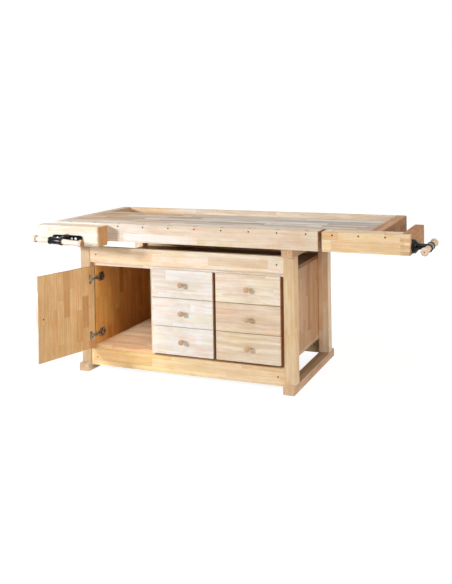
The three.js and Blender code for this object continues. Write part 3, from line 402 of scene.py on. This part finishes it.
# The right end cap is dark brown on every face below its top, partly its own browner wood and partly painted shade from
# the end board beside it; its top face is paler.
END_CAP = wood("end_cap_wood", "y", "z", 0.05, 0.06, 0.4, DULL, 7.0, rough=(0.55, 0.65), gloss=0.15,
               changes=[(SIDES_WARM, "z", at(0, 0, 857).z, at(0, 0, 858.4).z)])
SIDE = wood(
    "cabinet_side_wood", "z", "y", 0.046, 0.03, 0.4, SHADED, 8.0, seam=0.3,
    changes=[(SIDES_WARM, "y", at(0, 22, 0).y, at(0, 30, 0).y)],
)
# The left side is orange on its inner face: painted warm shade inside the cupboard.
INNER = wood(
    "cabinet_inner_wood", "z", "y", 0.046, 0.03, 0.3, FRAME, 21.0, seam=0.45,
    changes=[(INSIDE_PAINTED_SHADE, "x", at(79, 0, 0).x, at(81, 0, 0).x)],
)
# The divider's front edge is dark, painted shade, and its faces behind it are orange, painted warm shade inside the
# cupboard.
DIVIDER = wood(
    "cabinet_divider_wood", "z", "y", 0.046, 0.03, 0.3, SHADED, 26.0,
    changes=[(INSIDE_PAINTED_SHADE, "y", at(0, 22, 0).y, at(0, 60, 0).y)],
)
PARTITION = wood("cabinet_partition_wood", "z", "y", 0.046, 0.03, 0.3, TAN, 27.0)
# The cupboard's floor is bright, painted light; under the drawers it is dark, painted shade; its right edge is pale,
# painted light.
SHELF = wood(
    "cabinet_shelf_wood", "x", "y", 0.046, 0.03, 0.3, LIT, 9.0, changes=[(SHADED, "x", at(462, 0, 0).x, at(468, 0, 0).x), (MILD, "x", at(1230, 0, 0).x, at(1236, 0, 0).x)],
)
# The back is orange on its inner face, painted warm shade inside the cupboard, and plain on its outer face.
BACK = wood(
    "cabinet_back_wood", "z", "x", 0.046, 0.03, 0.3, INSIDE_PAINTED_SHADE, 10.0, seam=0.35,
    changes=[(FRAME, "y", at(0, 630, 0).y, at(0, 632, 0).y)],
)
# The lid's front edge is whitish, painted light against the upper rail's shadow, and it is dark further back, painted
# shade under the slab.
LID = wood(
    "cabinet_lid_wood", "x", "y", 0.046, 0.03, 0.3, WHITISH, 28.0, changes=[(SHADED, "y", at(0, 22, 0).y, at(0, 60, 0).y)],
)
# The door's free edge is pale: painted light.
DOOR = wood("door_wood", "z", "x", 0.044, 0.04, 0.24, DOOR_FRONT, 11.0, turn=DOOR_TURN, figure=0.7, seam=0.35,
            changes=[(WARM, "y", at(0, DOOR_PIN[1] + 10, 0).y, at(0, DOOR_PIN[1] + 13, 0).y), (PALE, "x", at(459, 0, 0).x, at(460, 0, 0).x)])
FRONT = wood("drawer_front_wood", "x", "z", 0.058, 0.04, 0.3, FRONTS, 12.0, figure=0.42, rings=70.0, seam=0.04)
FRONT_MILD = wood("mild_drawer_front_wood", "x", "z", 0.058, 0.04, 0.3, MILD, 29.0, rings=70.0, seam=0.04)
FRONT_TAN = wood("tan_drawer_front_wood", "x", "z", 0.16, 0.04, 2.0, TAN, 22.0, figure=0.65, rings=55.0, seam=0.04)
BOX = wood("drawer_box_wood", "y", "z", 0.06, 0.05, 0.4, FRAME, 13.0)
JAW = wood("jaw_wood", "x", "z", 0.12, 0.045, 0.9, WHITISH, 14.0, figure=0.45, seam=0.15, end=(216, 174, 128))
TAIL = wood("tail_beam_wood", "x", "z", 0.05, 0.05, 0.3, TAIL_BEAM, 15.0)
# The end board is brown on every face behind its front face, partly its own browner wood and partly painted shade on
# faces turned from the key lamp.
END_BOARD = wood(
    "end_board_wood", "y", "z", 0.05, 0.06, 0.4, FRAME, 16.0, rough=(0.55, 0.65), gloss=0.15, end=(246, 232, 216),
    changes=[(BROWN, "y", at(0, -36, 0).y, at(0, -20, 0).y)],
)
HANDLE_X = wood("front_handle_wood", "x", "z", 0.2, 0.2, 0.9, MILD, 17.0)
HANDLE_Y = wood("tail_handle_wood", "y", "z", 0.2, 0.2, 0.9, TURNED, 18.0)
CAP_X = wood("front_cap_wood", "x", "z", 0.2, 0.2, 0.9, MILD, 23.0, figure=0.8, end=(206, 154, 116))
PLUG = wood("cap_plug_wood", "z", "x", 0.2, 0.2, 0.9, DULL, 31.0)
CAP_Y = wood("tail_cap_wood", "y", "z", 0.2, 0.2, 0.9, PALE, 24.0, figure=0.5, end=(248, 234, 222))
KNOB = wood("knob_wood", "y", "z", 0.2, 0.2, 0.9, KNOBS, 19.0, end=(250, 240, 228))
DOOR_KNOB = wood("door_knob_wood", "y", "z", 0.2, 0.2, 0.9, KNOBS, 20.0, turn=DOOR_TURN, end=(250, 240, 228))

# CAD nodes that stay, with their material and the rounding of their edges in millimetres
LOOKS = {
    POST: ["left_front_post", "left_rear_post", "right_front_post", "right_rear_post"],
    FOOT: ["left_foot", "right_foot", "left_bearer", "right_bearer"],
    RAIL: ["front_lower_rail", "rear_upper_rail", "rear_lower_rail"],
    UPPER_RAIL: ["front_upper_rail"],
    APRON: ["front_apron"],
    SLAB: ["bench_slab", "tray_floor"],
    BACK_BOARD: ["tray_rear_board"],
    LEFT_CAP: ["left_end_cap"],
    END_CAP: ["right_end_cap"],
    SIDE: ["cabinet_right_side"],
    INNER: ["cabinet_left_side"],
    DIVIDER: ["drawer_divider"],
    PARTITION: ["door_divider"],
    SHELF: ["cabinet_bottom"],
    BACK: ["cabinet_back"],
    LID: ["cabinet_top"],
    DOOR: ["door_panel"],
    FRONT: ["left_bottom_drawer_front", "left_middle_drawer_front", "left_top_drawer_front"],
    FRONT_MILD: ["right_top_drawer_front"],
    FRONT_TAN: ["right_bottom_drawer_front", "right_middle_drawer_front"],
    BOX: [d + "_box" for d in DRAWERS],
    JAW: ["front_vise_jaw"],
    TAIL: ["tail_vise_beam"],
    END_BOARD: ["tail_vise_end_board"],
    HANDLE_X: ["front_vise_handle"],
    HANDLE_Y: ["tail_vise_handle"],
    KNOB: [d + "_knob" for d in DRAWERS],
    DOOR_KNOB: ["door_knob"],
    BLACK: ["front_vise_flange", "front_vise_screw", "front_vise_nut", "tail_vise_screw", "tail_vise_nut"],
    STEEL: ["front_vise_guides"],
    HINGE: ["upper_hinge_cup", "upper_hinge_arm", "lower_hinge_cup", "lower_hinge_arm"],
}
WELD_DISTANCE = 1e-5
EDGE_ANGLE = math.radians(38)


def make_clean_group():
    """Geometry nodes that join a node's loose triangles and shade them smooth."""
    group = bpy.data.node_groups.new("clean_mesh", "GeometryNodeTree")
    group.interface.new_socket("Geometry", in_out="INPUT", socket_type="NodeSocketGeometry")
    group.interface.new_socket("Geometry", in_out="OUTPUT", socket_type="NodeSocketGeometry")
    t = Tree(group)
    given = t.add("NodeGroupInput").outputs[0]
    bare = t.add("GeometryNodeRemoveAttribute", {"Geometry": given, "Name": "custom_normal"}).outputs[0]
    whole = t.add("GeometryNodeMergeByDistance", {"Geometry": bare, "Distance": WELD_DISTANCE}).outputs[0]
    smooth = t.add("GeometryNodeSetShadeSmooth", {"Geometry": whole, "Shade Smooth": True}, domain="FACE")
    edges = t.add(
        "GeometryNodeSetShadeSmooth", {"Geometry": smooth.outputs[0], "Shade Smooth": True}, domain="EDGE"
    )
    made = t.add("NodeGroupOutput")
    t.put(made.inputs[0], edges.outputs[0])
    return group


CLEAN = make_clean_group()


def soften(obj, width, segments=2):
    """Rounds a CAD node's edges with modifiers only."""
    clean = obj.modifiers.new("clean", "NODES")
    clean.node_group = CLEAN
    flat = obj.modifiers.new("flat", "DECIMATE")
    flat.decimate_type = "DISSOLVE"
    flat.angle_limit = math.radians(0.5)
    bevel = obj.modifiers.new("round", "BEVEL")
    bevel.width = width * MM
    bevel.segments = segments
    bevel.limit_method = "ANGLE"
    bevel.angle_limit = EDGE_ANGLE
    bevel.use_clamp_overlap = True
    weighted = obj.modifiers.new("shade", "WEIGHTED_NORMAL")
    weighted.weight = 100
    weighted.keep_sharp = True


ROUNDING = {
    BLACK: 0.8, STEEL: 0.25, HINGE: 0.25, FRONT: 1.2, FRONT_MILD: 1.2, FRONT_TAN: 1.2, DOOR: 1.2, BOX: 0.8, SIDE: 0.8, INNER: 0.8, SHELF: 0.8,
    BACK: 0.6, DIVIDER: 0.8, PARTITION: 0.8, LID: 0.8,
}
for material, names in LOOKS.items():
    for name in names:
        node = nodes[name]
        node.data.materials.clear()
        node.data.materials.append(material)
        soften(node, ROUNDING.get(material, 1.8))

# Pieces made here, finer than their CAD solids

SIDES = 40
SHARP = math.radians(40)
TINY = 1e-6


def circle(radius, height, sides=SIDES):
    if radius < TINY:
        return [(0, 0, height)]
    turns = [2 * math.pi * i / sides for i in range(sides)]
    return [(radius * math.cos(a), radius * math.sin(a), height) for a in turns]


def curve(points, steps=5):
    """A smooth line through the points of a profile."""
    line = []
    last = len(points) - 1
    for i in range(last):
        near = [points[max(i - 1, 0)], points[i], points[i + 1], points[min(i + 2, last)]]
        for k in range(steps):
            s = k / steps
            row = []
            for p, q, r, t in zip(*near):
                bend = (2 * p - 5 * q + 4 * r - t) * s * s + (3 * q - p - 3 * r + t) * s ** 3
                row.append(max(0.5 * (2 * q + (r - p) * s + bend), -1e9))
            line.append((max(row[0], 0), row[1]))
    line.append(points[-1])
    return line


class Shape:
    """Collects the points and faces of one piece."""

    def __init__(self):
        self.points = []
        self.faces = []

    def add(self, points, faces, frame):
        first = len(self.points)
        self.points += [frame @ Vector(p) for p in points]
        self.faces += [[first + i for i in face] for face in faces]

    def loft(self, rings, frame, closed=False):
        """Joins rings of points, each round the frame's Z axis. A ring of one point is a pole."""
        points, starts, faces = [], [], []
        for ring in rings:
            starts.append(len(points))
            points += ring
        pairs = [(i, i + 1) for i in range(len(rings) - 1)]
        if closed:
            pairs.append((len(rings) - 1, 0))
        for low, high in pairs:
            count = max(len(rings[low]), len(rings[high]))
            for i in range(count):
                j = (i + 1) % count
                face = []
                for start, ring, ends in ((starts[low], rings[low], (i, j)), (starts[high], rings[high], (j, i))):
                    face += [start] if len(ring) == 1 else [start + e for e in ends]
                faces.append(face)
        if not closed:
            for start, ring in ((starts[0], rings[0]), (starts[-1], rings[-1])):
                if len(ring) > 1:
                    faces.append(range(start, start + len(ring)))
        self.add(points, faces, frame)

    def turned(self, profile, frame, closed=False):
        """Turns a profile of (radius, height) about the frame's Z axis."""
        self.loft([circle(r, h) for r, h in profile], frame, closed)

    def thread(self, low, high, core, crest, pitch, frame, sides=20, cuts=6):
        rows = math.ceil((high - low) / pitch * cuts)
        rings = []
        for row in range(rows + 1):
            height = low + (high - low) * row / rows
            ring = []
            for side in range(sides):
                wave = abs((height / pitch - side / sides) % 1 * 2 - 1)
                radius = core + (crest - core) * min(max(wave * 2 - 0.5, 0), 1)
                angle = 2 * math.pi * side / sides
                ring.append((radius * math.cos(angle), radius * math.sin(angle), height))
            rings.append(ring)
        self.loft(rings, frame)

    def screw_head(self, radius, height, cut, frame, sides=28):
        """A low screw head on the frame's XY plane, with the outline of its drive cut into it."""
        rim = circle(radius * 0.84, height, sides)
        cut = [(x * radius, y * radius) for x, y in cut]
        top = [Vector(p) for p in rim] + [Vector((x, y, height)) for x, y in cut]
        cap = tessellate_polygon([top[:sides], top[sides:]])
        self.add(top, cap, frame)
        self.loft([circle(radius, 0, sides), circle(radius, height * 0.5, sides), rim], frame)
        self.faces.pop()
        deep = height * 0.3
        count = len(cut)
        walls = [(x, y, height) for x, y in cut] + [(x, y, deep) for x, y in cut]
        faces = [(i, (i + 1) % count, count + (i + 1) % count, count + i) for i in range(count)]
        faces.append(range(count, 2 * count))
        self.add(walls, faces, frame)

    def make(self, name, material, body, slot, *replaced):
        mesh = bpy.data.meshes.new(name)
        mesh.from_pydata(self.points, [], self.faces)
        edit = bmesh.new()
        edit.from_mesh(mesh)
        bmesh.ops.remove_doubles(edit, verts=edit.verts, dist=1e-6)
        bmesh.ops.recalc_face_normals(edit, faces=edit.faces)
        edit.to_mesh(mesh)
        edit.free()
        mesh.shade_smooth()
        mesh.set_sharp_from_angle(angle=SHARP)
        mesh.materials.append(material)
        piece = bpy.data.objects.new(name, mesh)
        scene.collection.objects.link(piece)
        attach(piece, body)
        if replaced:
            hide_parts(*replaced)
        return piece


SLOT = [(-0.7, -0.14), (0.7, -0.14), (0.7, 0.14), (-0.7, 0.14)]
ARM, WIDE = 0.52, 0.13
CROSS = [
    (WIDE, WIDE), (WIDE, ARM), (-WIDE, ARM), (-WIDE, WIDE), (-ARM, WIDE), (-ARM, -WIDE),
    (-WIDE, -WIDE), (-WIDE, -ARM), (WIDE, -ARM), (WIDE, -WIDE), (ARM, -WIDE), (ARM, WIDE),
]
TO_FRONT = Matrix.Rotation(math.pi / 2, 4, "X")
TO_REAR = Matrix.Rotation(-math.pi / 2, 4, "X")
TO_RIGHT = Matrix.Rotation(math.pi / 2, 4, "Y")
move = Matrix.Translation

# Turned knobs
KNOB_PROFILE = [(0, 0), (9, 0), (9, 1.6), (8.4, 2.6)]
KNOB_PROFILE += curve([(7.6, 3.2), (6.5, 6), (6.6, 9), (9, 12.4), (13.4, 15.6), (15.7, 19.4), (15.2, 23.4), (11.4, 26.6), (5, 27.8)])
KNOB_PROFILE.append((0, 28))
for drawer in DRAWERS:
    low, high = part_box(drawer + "_knob")
    seat = Vector(((low.x + high.x) / 2, high.y, (low.z + high.z) / 2))
    knob = Shape()
    knob.turned(KNOB_PROFILE, move(seat) @ Matrix.Scale(MM, 4) @ TO_FRONT)
    knob.make(drawer + "_turned_knob", KNOB, drawer, "handle_wood", drawer + "_knob")

DOOR_OUTER, DOOR_INNER = -4.5, 15.5
DOOR_KNOB_X, DOOR_KNOB_Z = 355.5, 368.2
knob = Shape()
knob.turned(KNOB_PROFILE, DOOR_FRAME @ move((DOOR_KNOB_X, DOOR_OUTER, DOOR_KNOB_Z)) @ TO_FRONT)
knob.make("door_turned_knob", DOOR_KNOB, "door", "handle_wood", "door_knob")

# Vise screws, each in a frame with X along its handle and Z out along the screw
FRONT_SCREW = BENCH @ move((2, 0, 780)) @ Matrix.Rotation(math.radians(3), 4, "Y") @ TO_FRONT
TAIL_AXES = Matrix(((0, 0, 1, 0), (1, 0, 0, 0), (0, 1, 0, 0), (0, 0, 0, 1)))
TAIL_SCREW = BENCH @ move((0, 24, 798)) @ TAIL_AXES
THREAD_CORE, THREAD_CREST, THREAD_PITCH = 10.6, 13, 6
NECK_RADIUS = 15.5
NECK_FOOT = 16.6
SLEEVE_WALL = 17.4
SLEEVE = [(15, -41), (15.8, -42), (20.2, -42), (21, -41), (21, -31.5), (20.4, -30.4), (18.9, -29.2), (18.5, -27)]
SLEEVE += [(radius, -height) for radius, height in reversed(SLEEVE)]


def vise_screw(name, frame, start, plain, profile, sleeve, body, node):
    """A threaded shaft, its collar and neck, and the sleeve across its head."""
    screw = Shape()
    screw.thread(start, plain, THREAD_CORE, THREAD_CREST, THREAD_PITCH, frame)
    rings = [circle(r, h) for r, h in profile]
    rings.append(circle(NECK_RADIUS, sleeve - 25))
    rings.append(circle(NECK_RADIUS, sleeve - 21.5))
    saddle = []
    for x, y, _ in circle(NECK_FOOT, 0):
        saddle.append((x, y, sleeve - math.sqrt(SLEEVE_WALL ** 2 - y * y)))
    rings.append(saddle)
    screw.loft(rings, frame)
    screw.turned(SLEEVE, frame @ move((0, 0, sleeve)) @ TO_RIGHT, closed=True)
    screw.make(name, BLACK, body, "black_steel", node)


FRONT_COLLAR = [(0, 110), (13, 110), (13, 157.8), (20, 157.8), (21, 158.8), (21, 164.6), (19.8, 165.8), (16.4, 166.4), (15.5, 168)]
vise_screw("front_screw_iron", FRONT_SCREW, -274, 112, FRONT_COLLAR, 236, "front_screw", "front_vise_screw")
TAIL_COLLAR = [(0, 1890), (13, 1890), (13, 1909.3), (34, 1909.3), (35, 1910.3), (35, 1924.6), (34.2, 1925.8), (32.4, 1926.2)]
TAIL_COLLAR += [(31.6, 1927.2), (31.2, 1928.4), (29, 1930.4), (24, 1934), (19, 1938), (16.6, 1941), (15.5, 1945)]
vise_screw("tail_screw_iron", TAIL_SCREW, 1570.3, 1892, TAIL_COLLAR, 1993, "tail_screw", "tail_vise_screw")

# Vise handles: a rod and two turned caps
ROD_RADIUS = 14.5
HANDLE_HALF = 162
CAP_LENGTH = 25
CAP = [(0, 0), (14.5, 0), (15.4, 0.6)]
CAP += curve([(17.8, 1.4), (20.1, 4), (20.8, 9), (20.8, 15), (20.1, 20), (17.8, 23.4), (14, 24.8)])
CAP += [(4.4, 25), (3.6, 24.2), (0, 24)]
CAP_PLUG = [(0, 23.5), (3.4, 23.5), (3.4, 24.5), (2.8, 24.9), (0, 24.9)]
ROD_END = HANDLE_HALF - CAP_LENGTH
ROD = [(0, -ROD_END - 2), (12.6, -ROD_END - 2), (ROD_RADIUS, -ROD_END), (ROD_RADIUS, 0)]
ROD += [(radius, -height) for radius, height in reversed(ROD[:3])]


def vise_handle(name, frame, rod_wood, cap_woods, body, node):
    rod = Shape()
    rod.turned(ROD, frame)
    rod.make(name + "_rod", rod_wood, body, "handle_wood", node)
    for side, cap_wood, turn in zip(("first", "last"), cap_woods, (math.pi, 0)):
        seat = frame @ Matrix.Rotation(turn, 4, "X") @ move((0, 0, ROD_END))
        cap = Shape()
        cap.turned(CAP, seat)
        cap.make(f"{name}_{side}_cap", cap_wood, body, "handle_wood")
        plug = Shape()
        plug.turned(CAP_PLUG, seat)
        plug.make(f"{name}_{side}_plug", PLUG, body, "handle_wood")


FRONT_HANDLE = FRONT_SCREW @ move((11, 0, 236)) @ TO_RIGHT
vise_handle("front_handle", FRONT_HANDLE, HANDLE_X, (HANDLE_X, CAP_X), "front_handle", "front_vise_handle")
TAIL_HANDLE = TAIL_SCREW @ move((0, 0, 1993)) @ TO_RIGHT
vise_handle("tail_handle", TAIL_HANDLE, HANDLE_Y, (CAP_Y, CAP_Y), "tail_handle", "tail_vise_handle")

# Screws of the flange plate on the front jaw
FLANGE_FACE = -135.3
for number, place in enumerate((-60, -33, 33, 60)):
    head = Shape()
    seat = BENCH @ move((2 + place, FLANGE_FACE, 780)) @ TO_FRONT
    head.screw_head(7.6, 3.2, SLOT, seat @ Matrix.Rotation(0.6 + number, 4, "Z"))
    head.make(f"flange_screw_{number}", BRIGHT, "front_vise", "bright_steel")

# Hinge screws on the door, the mounting plate and the arm
HINGES = {"lower": 205.3, "upper": 531.1}
WING_FACE = DOOR_INNER + 0.6
# Depth, half height, and left and right faces along the cover of a hinge arm
ARM_COVER = [
    (26, 8, 88.5, 92.5), (27, 9.4, 87.5, 94.4), (40, 11, 87, 96), (62, 12.6, 86.5, 97.4), (98, 12, 86.5, 97.4),
    (103, 11, 86.5, 96), (104.5, 9, 87.5, 94),
]
COVER_CORNER = 2.2


def rounded_slice(depth, half, left, right, steps=4):
    """One slice of a hinge arm's cover, with rounded corners."""
    corners = [(right, half, 0), (left, half, 1), (left, -half, 2), (right, -half, 3)]
    ring = []
    for x, y, quarter in corners:
        cx = x - math.copysign(COVER_CORNER, x - (left + right) / 2)
        cy = y - math.copysign(COVER_CORNER, y)
        for k in range(steps + 1):
            angle = (quarter + k / steps) * math.pi / 2
            ring.append((cx + COVER_CORNER * math.cos(angle), cy + COVER_CORNER * math.sin(angle), depth))
    return ring


for name, height in HINGES.items():
    wing = Shape()
    for side in (-1, 1):
        wing.screw_head(3.6, 1.4, CROSS, DOOR_FRAME @ move((27, WING_FACE, height + side * 21)) @ TO_REAR)
    wing.make(name + "_hinge_wing_screws", ZINC, "door", "bright_steel")
    plate = Shape()
    for side in (-1, 1):
        plate.screw_head(4, 1.6, CROSS, BENCH @ move((86.3, 84, height + side * 18)) @ TO_RIGHT)
    for depth in (54, 86):
        plate.screw_head(5, 1.4, CROSS, BENCH @ move((97.4, depth, height)) @ TO_RIGHT)
    plate.make(name + "_hinge_plate_screws", ZINC, "bench", "bright_steel")
    cover = Shape()
    cover.loft([rounded_slice(*part) for part in ARM_COVER], BENCH @ move((0, 0, height)) @ TO_REAR)
    cover.make(name + "_hinge_arm_cover", HINGE, "bench", "bright_steel")

# The screw of the door's knob, seen inside
head = Shape()
head.screw_head(4.4, 1.6, CROSS, DOOR_FRAME @ move((DOOR_KNOB_X, DOOR_INNER, DOOR_KNOB_Z)) @ TO_REAR)
head.make("door_knob_screw", ZINC, "door", "bright_steel")

# Dark pins in the front of the dog holes
PIN = [(0, 31.4), (4.3, 31.4), (4.3, 38.2), (3.9, 38.7), (1.6, 38.7), (1.1, 38.3), (0, 38.3)]
PIN_HEIGHT = 845
for name, body, first, pitch, count in (("apron", "bench", -38, 157.5, 10), ("tail_beam", "tail_vise", 1518, 134.5, 3)):
    pins = Shape()
    for number in range(count):
        pins.turned(PIN, BENCH @ move((first + number * pitch, 0, PIN_HEIGHT)) @ TO_FRONT)
    pins.make(name + "_dog_pins", BLACK, body, "black_steel")

# Slotted cross nuts of the rail bolts, in their bores
NUT = [(0, -11), (4, -11), (4.7, -10.3), (4.7, 10), (0, 10)]
for x in (100.3, 1203.7):
    for y, way in ((18, TO_FRONT), (660, TO_REAR)):
        for z, level in ((670.4, "upper"), (79.5, "lower")):
            nut = Shape()
            seat = BENCH @ move((x, y, z)) @ way
            nut.turned(NUT, seat)
            nut.screw_head(4.7, 1.8, SLOT, seat @ move((0, 0, 10)))
            side = "left" if x < 600 else "right"
            end = "front" if y < 300 else "rear"
            nut.make(f"{side}_{end}_{level}_cross_nut", ZINC, "bench", "bright_steel")

# Floor, light and camera

FLOOR_HALF = 40.0


def make_floor():
    mesh = bpy.data.meshes.new("floor")
    h = FLOOR_HALF
    mesh.from_pydata([(-h, -h, 0), (h, -h, 0), (h, h, 0), (-h, h, 0)], [], [(0, 1, 2, 3)])
    floor = bpy.data.objects.new("floor", mesh)
    floor.location.z = -0.0005
    scene.collection.objects.link(floor)
    material = bpy.data.materials.new("white_floor")
    material.use_nodes = True
    t = Tree(material.node_tree)
    material.node_tree.nodes.clear()
    path = t.add("ShaderNodeLightPath").outputs
    seen = t.math("MAXIMUM", path["Is Camera Ray"], path["Is Glossy Ray"])
    seen = t.math("MAXIMUM", seen, path["Is Transmission Ray"])
    plain = t.add("ShaderNodeBsdfDiffuse", {"Color": (0.75, 0.75, 0.75, 1)}).outputs[0]
    shade = t.add("ShaderNodeBsdfDiffuse", {"Color": (0.22, 0.22, 0.22, 1)}).outputs[0]
    away = t.add("ShaderNodeVectorMath", {0: t.add("ShaderNodeTexCoord").outputs["Object"]}, operation="LENGTH")
    strength = t.step(away.outputs["Value"], 1.5, 3.5, 0.92, 1.0)
    glow = t.add("ShaderNodeEmission", {"Color": WHITE, "Strength": strength}).outputs[0]
    white = t.add("ShaderNodeAddShader", {0: shade, 1: glow}).outputs[0]
    both = t.add("ShaderNodeMixShader", {0: seen, 1: plain, 2: white}).outputs[0]
    t.put(t.add("ShaderNodeOutputMaterial").inputs["Surface"], both)
    mesh.materials.append(material)
    floor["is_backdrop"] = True


def make_world():
    world = bpy.data.worlds.new("studio")
    world.use_nodes = True
    scene.world = world
    t = Tree(world.node_tree)
    world.node_tree.nodes.clear()
    path = t.add("ShaderNodeLightPath").outputs
    seen = t.math("MAXIMUM", path["Is Camera Ray"], path["Is Glossy Ray"])
    seen = t.math("MAXIMUM", seen, path["Is Transmission Ray"])
    room = t.add("ShaderNodeBackground", {"Color": (1, 0.87, 0.7, 1), "Strength": 0.13}).outputs[0]
    white = t.add("ShaderNodeBackground", {"Color": WHITE, "Strength": 1.0}).outputs[0]
    both = t.add("ShaderNodeMixShader", {0: seen, 1: room, 2: white}).outputs[0]
    t.put(t.add("ShaderNodeOutputWorld").inputs["Surface"], both)


def area_light(name, place, target, size, power, colour, spread=180):
    light = bpy.data.lights.new(name, "AREA")
    light.shape = "SQUARE"
    light.size = size
    light.energy = power
    light.color = colour
    light.spread = math.radians(spread)
    lamp = bpy.data.objects.new(name, light)
    lamp.location = place
    lamp.rotation_euler = (target - place).to_track_quat("-Z", "Y").to_euler()
    scene.collection.objects.link(lamp)
    return lamp


make_floor()
make_world()
AIM = at(700, 0, 450)
COOL, SOFT, WARMER = (0.97, 1, 1.06), (1, 0.96, 0.9), (1, 0.91, 0.79)
area_light("key", AIM + Vector((-3.85, -3.5, 1.5)), AIM, 0.65, 268, COOL)
area_light("overhead", AIM + Vector((0.3, -1.6, 4.6)), AIM, 2.2, 86, WARMER)
area_light("fill", AIM + Vector((4.7, -2.7, 1.4)), AIM, 2.0, 58, SOFT)
area_light("side", AIM + Vector((5.2, -1.0, 1.2)), AIM, 2.0, 74, SOFT)
# A weak lamp behind the bench, kept out of the reflections on the top
rear_lamp = area_light("rear", AIM + Vector((-0.6, 4.6, 2.0)), AIM, 2.0, 48, SOFT)
rear_lamp.visible_glossy = False
CUPBOARD = at(250, 200, 180)
area_light("cupboard", CUPBOARD + Vector((-0.1, -2.6, 1.9)), CUPBOARD, 0.3, 0.42, (1, 1, 1), 9)

# The camera stands where the photograph's did: level with a lens shift
IMAGE_WIDTH, IMAGE_HEIGHT = 452, 584
SENSOR = 36
CAMERA_PLACE = at(2614.27, -3875.59, 1433.7)
CAMERA_YAW, CAMERA_PITCH, CAMERA_ROLL = 0.38, 0.0261, -0.0147
FOCAL_PIXELS = 792.9
CENTRE_X, CENTRE_Y = 250, 140


def make_camera():
    data = bpy.data.cameras.new("camera")
    camera = bpy.data.objects.new("camera", data)
    scene.collection.objects.link(camera)
    scene.camera = camera
    data.sensor_width = SENSOR
    data.lens = FOCAL_PIXELS * SENSOR / IMAGE_HEIGHT
    data.shift_x = (IMAGE_WIDTH / 2 - CENTRE_X) / IMAGE_HEIGHT
    data.shift_y = (CENTRE_Y - IMAGE_HEIGHT / 2) / IMAGE_HEIGHT
    right = Vector((math.cos(CAMERA_YAW), math.sin(CAMERA_YAW), 0))
    level = Vector((-math.sin(CAMERA_YAW), math.cos(CAMERA_YAW), 0))
    up = Vector((0, 0, 1))
    ahead = math.cos(CAMERA_PITCH) * level - math.sin(CAMERA_PITCH) * up
    above = math.sin(CAMERA_PITCH) * level + math.cos(CAMERA_PITCH) * up
    c, s = math.cos(CAMERA_ROLL), math.sin(CAMERA_ROLL)
    x_axis = c * right + s * above
    y_axis = c * above - s * right
    turn = Matrix((x_axis, y_axis, -ahead)).transposed().to_4x4()
    camera.matrix_world = Matrix.Translation(CAMERA_PLACE) @ turn


make_camera()
scene.view_settings.view_transform = "Standard"

low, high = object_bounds()
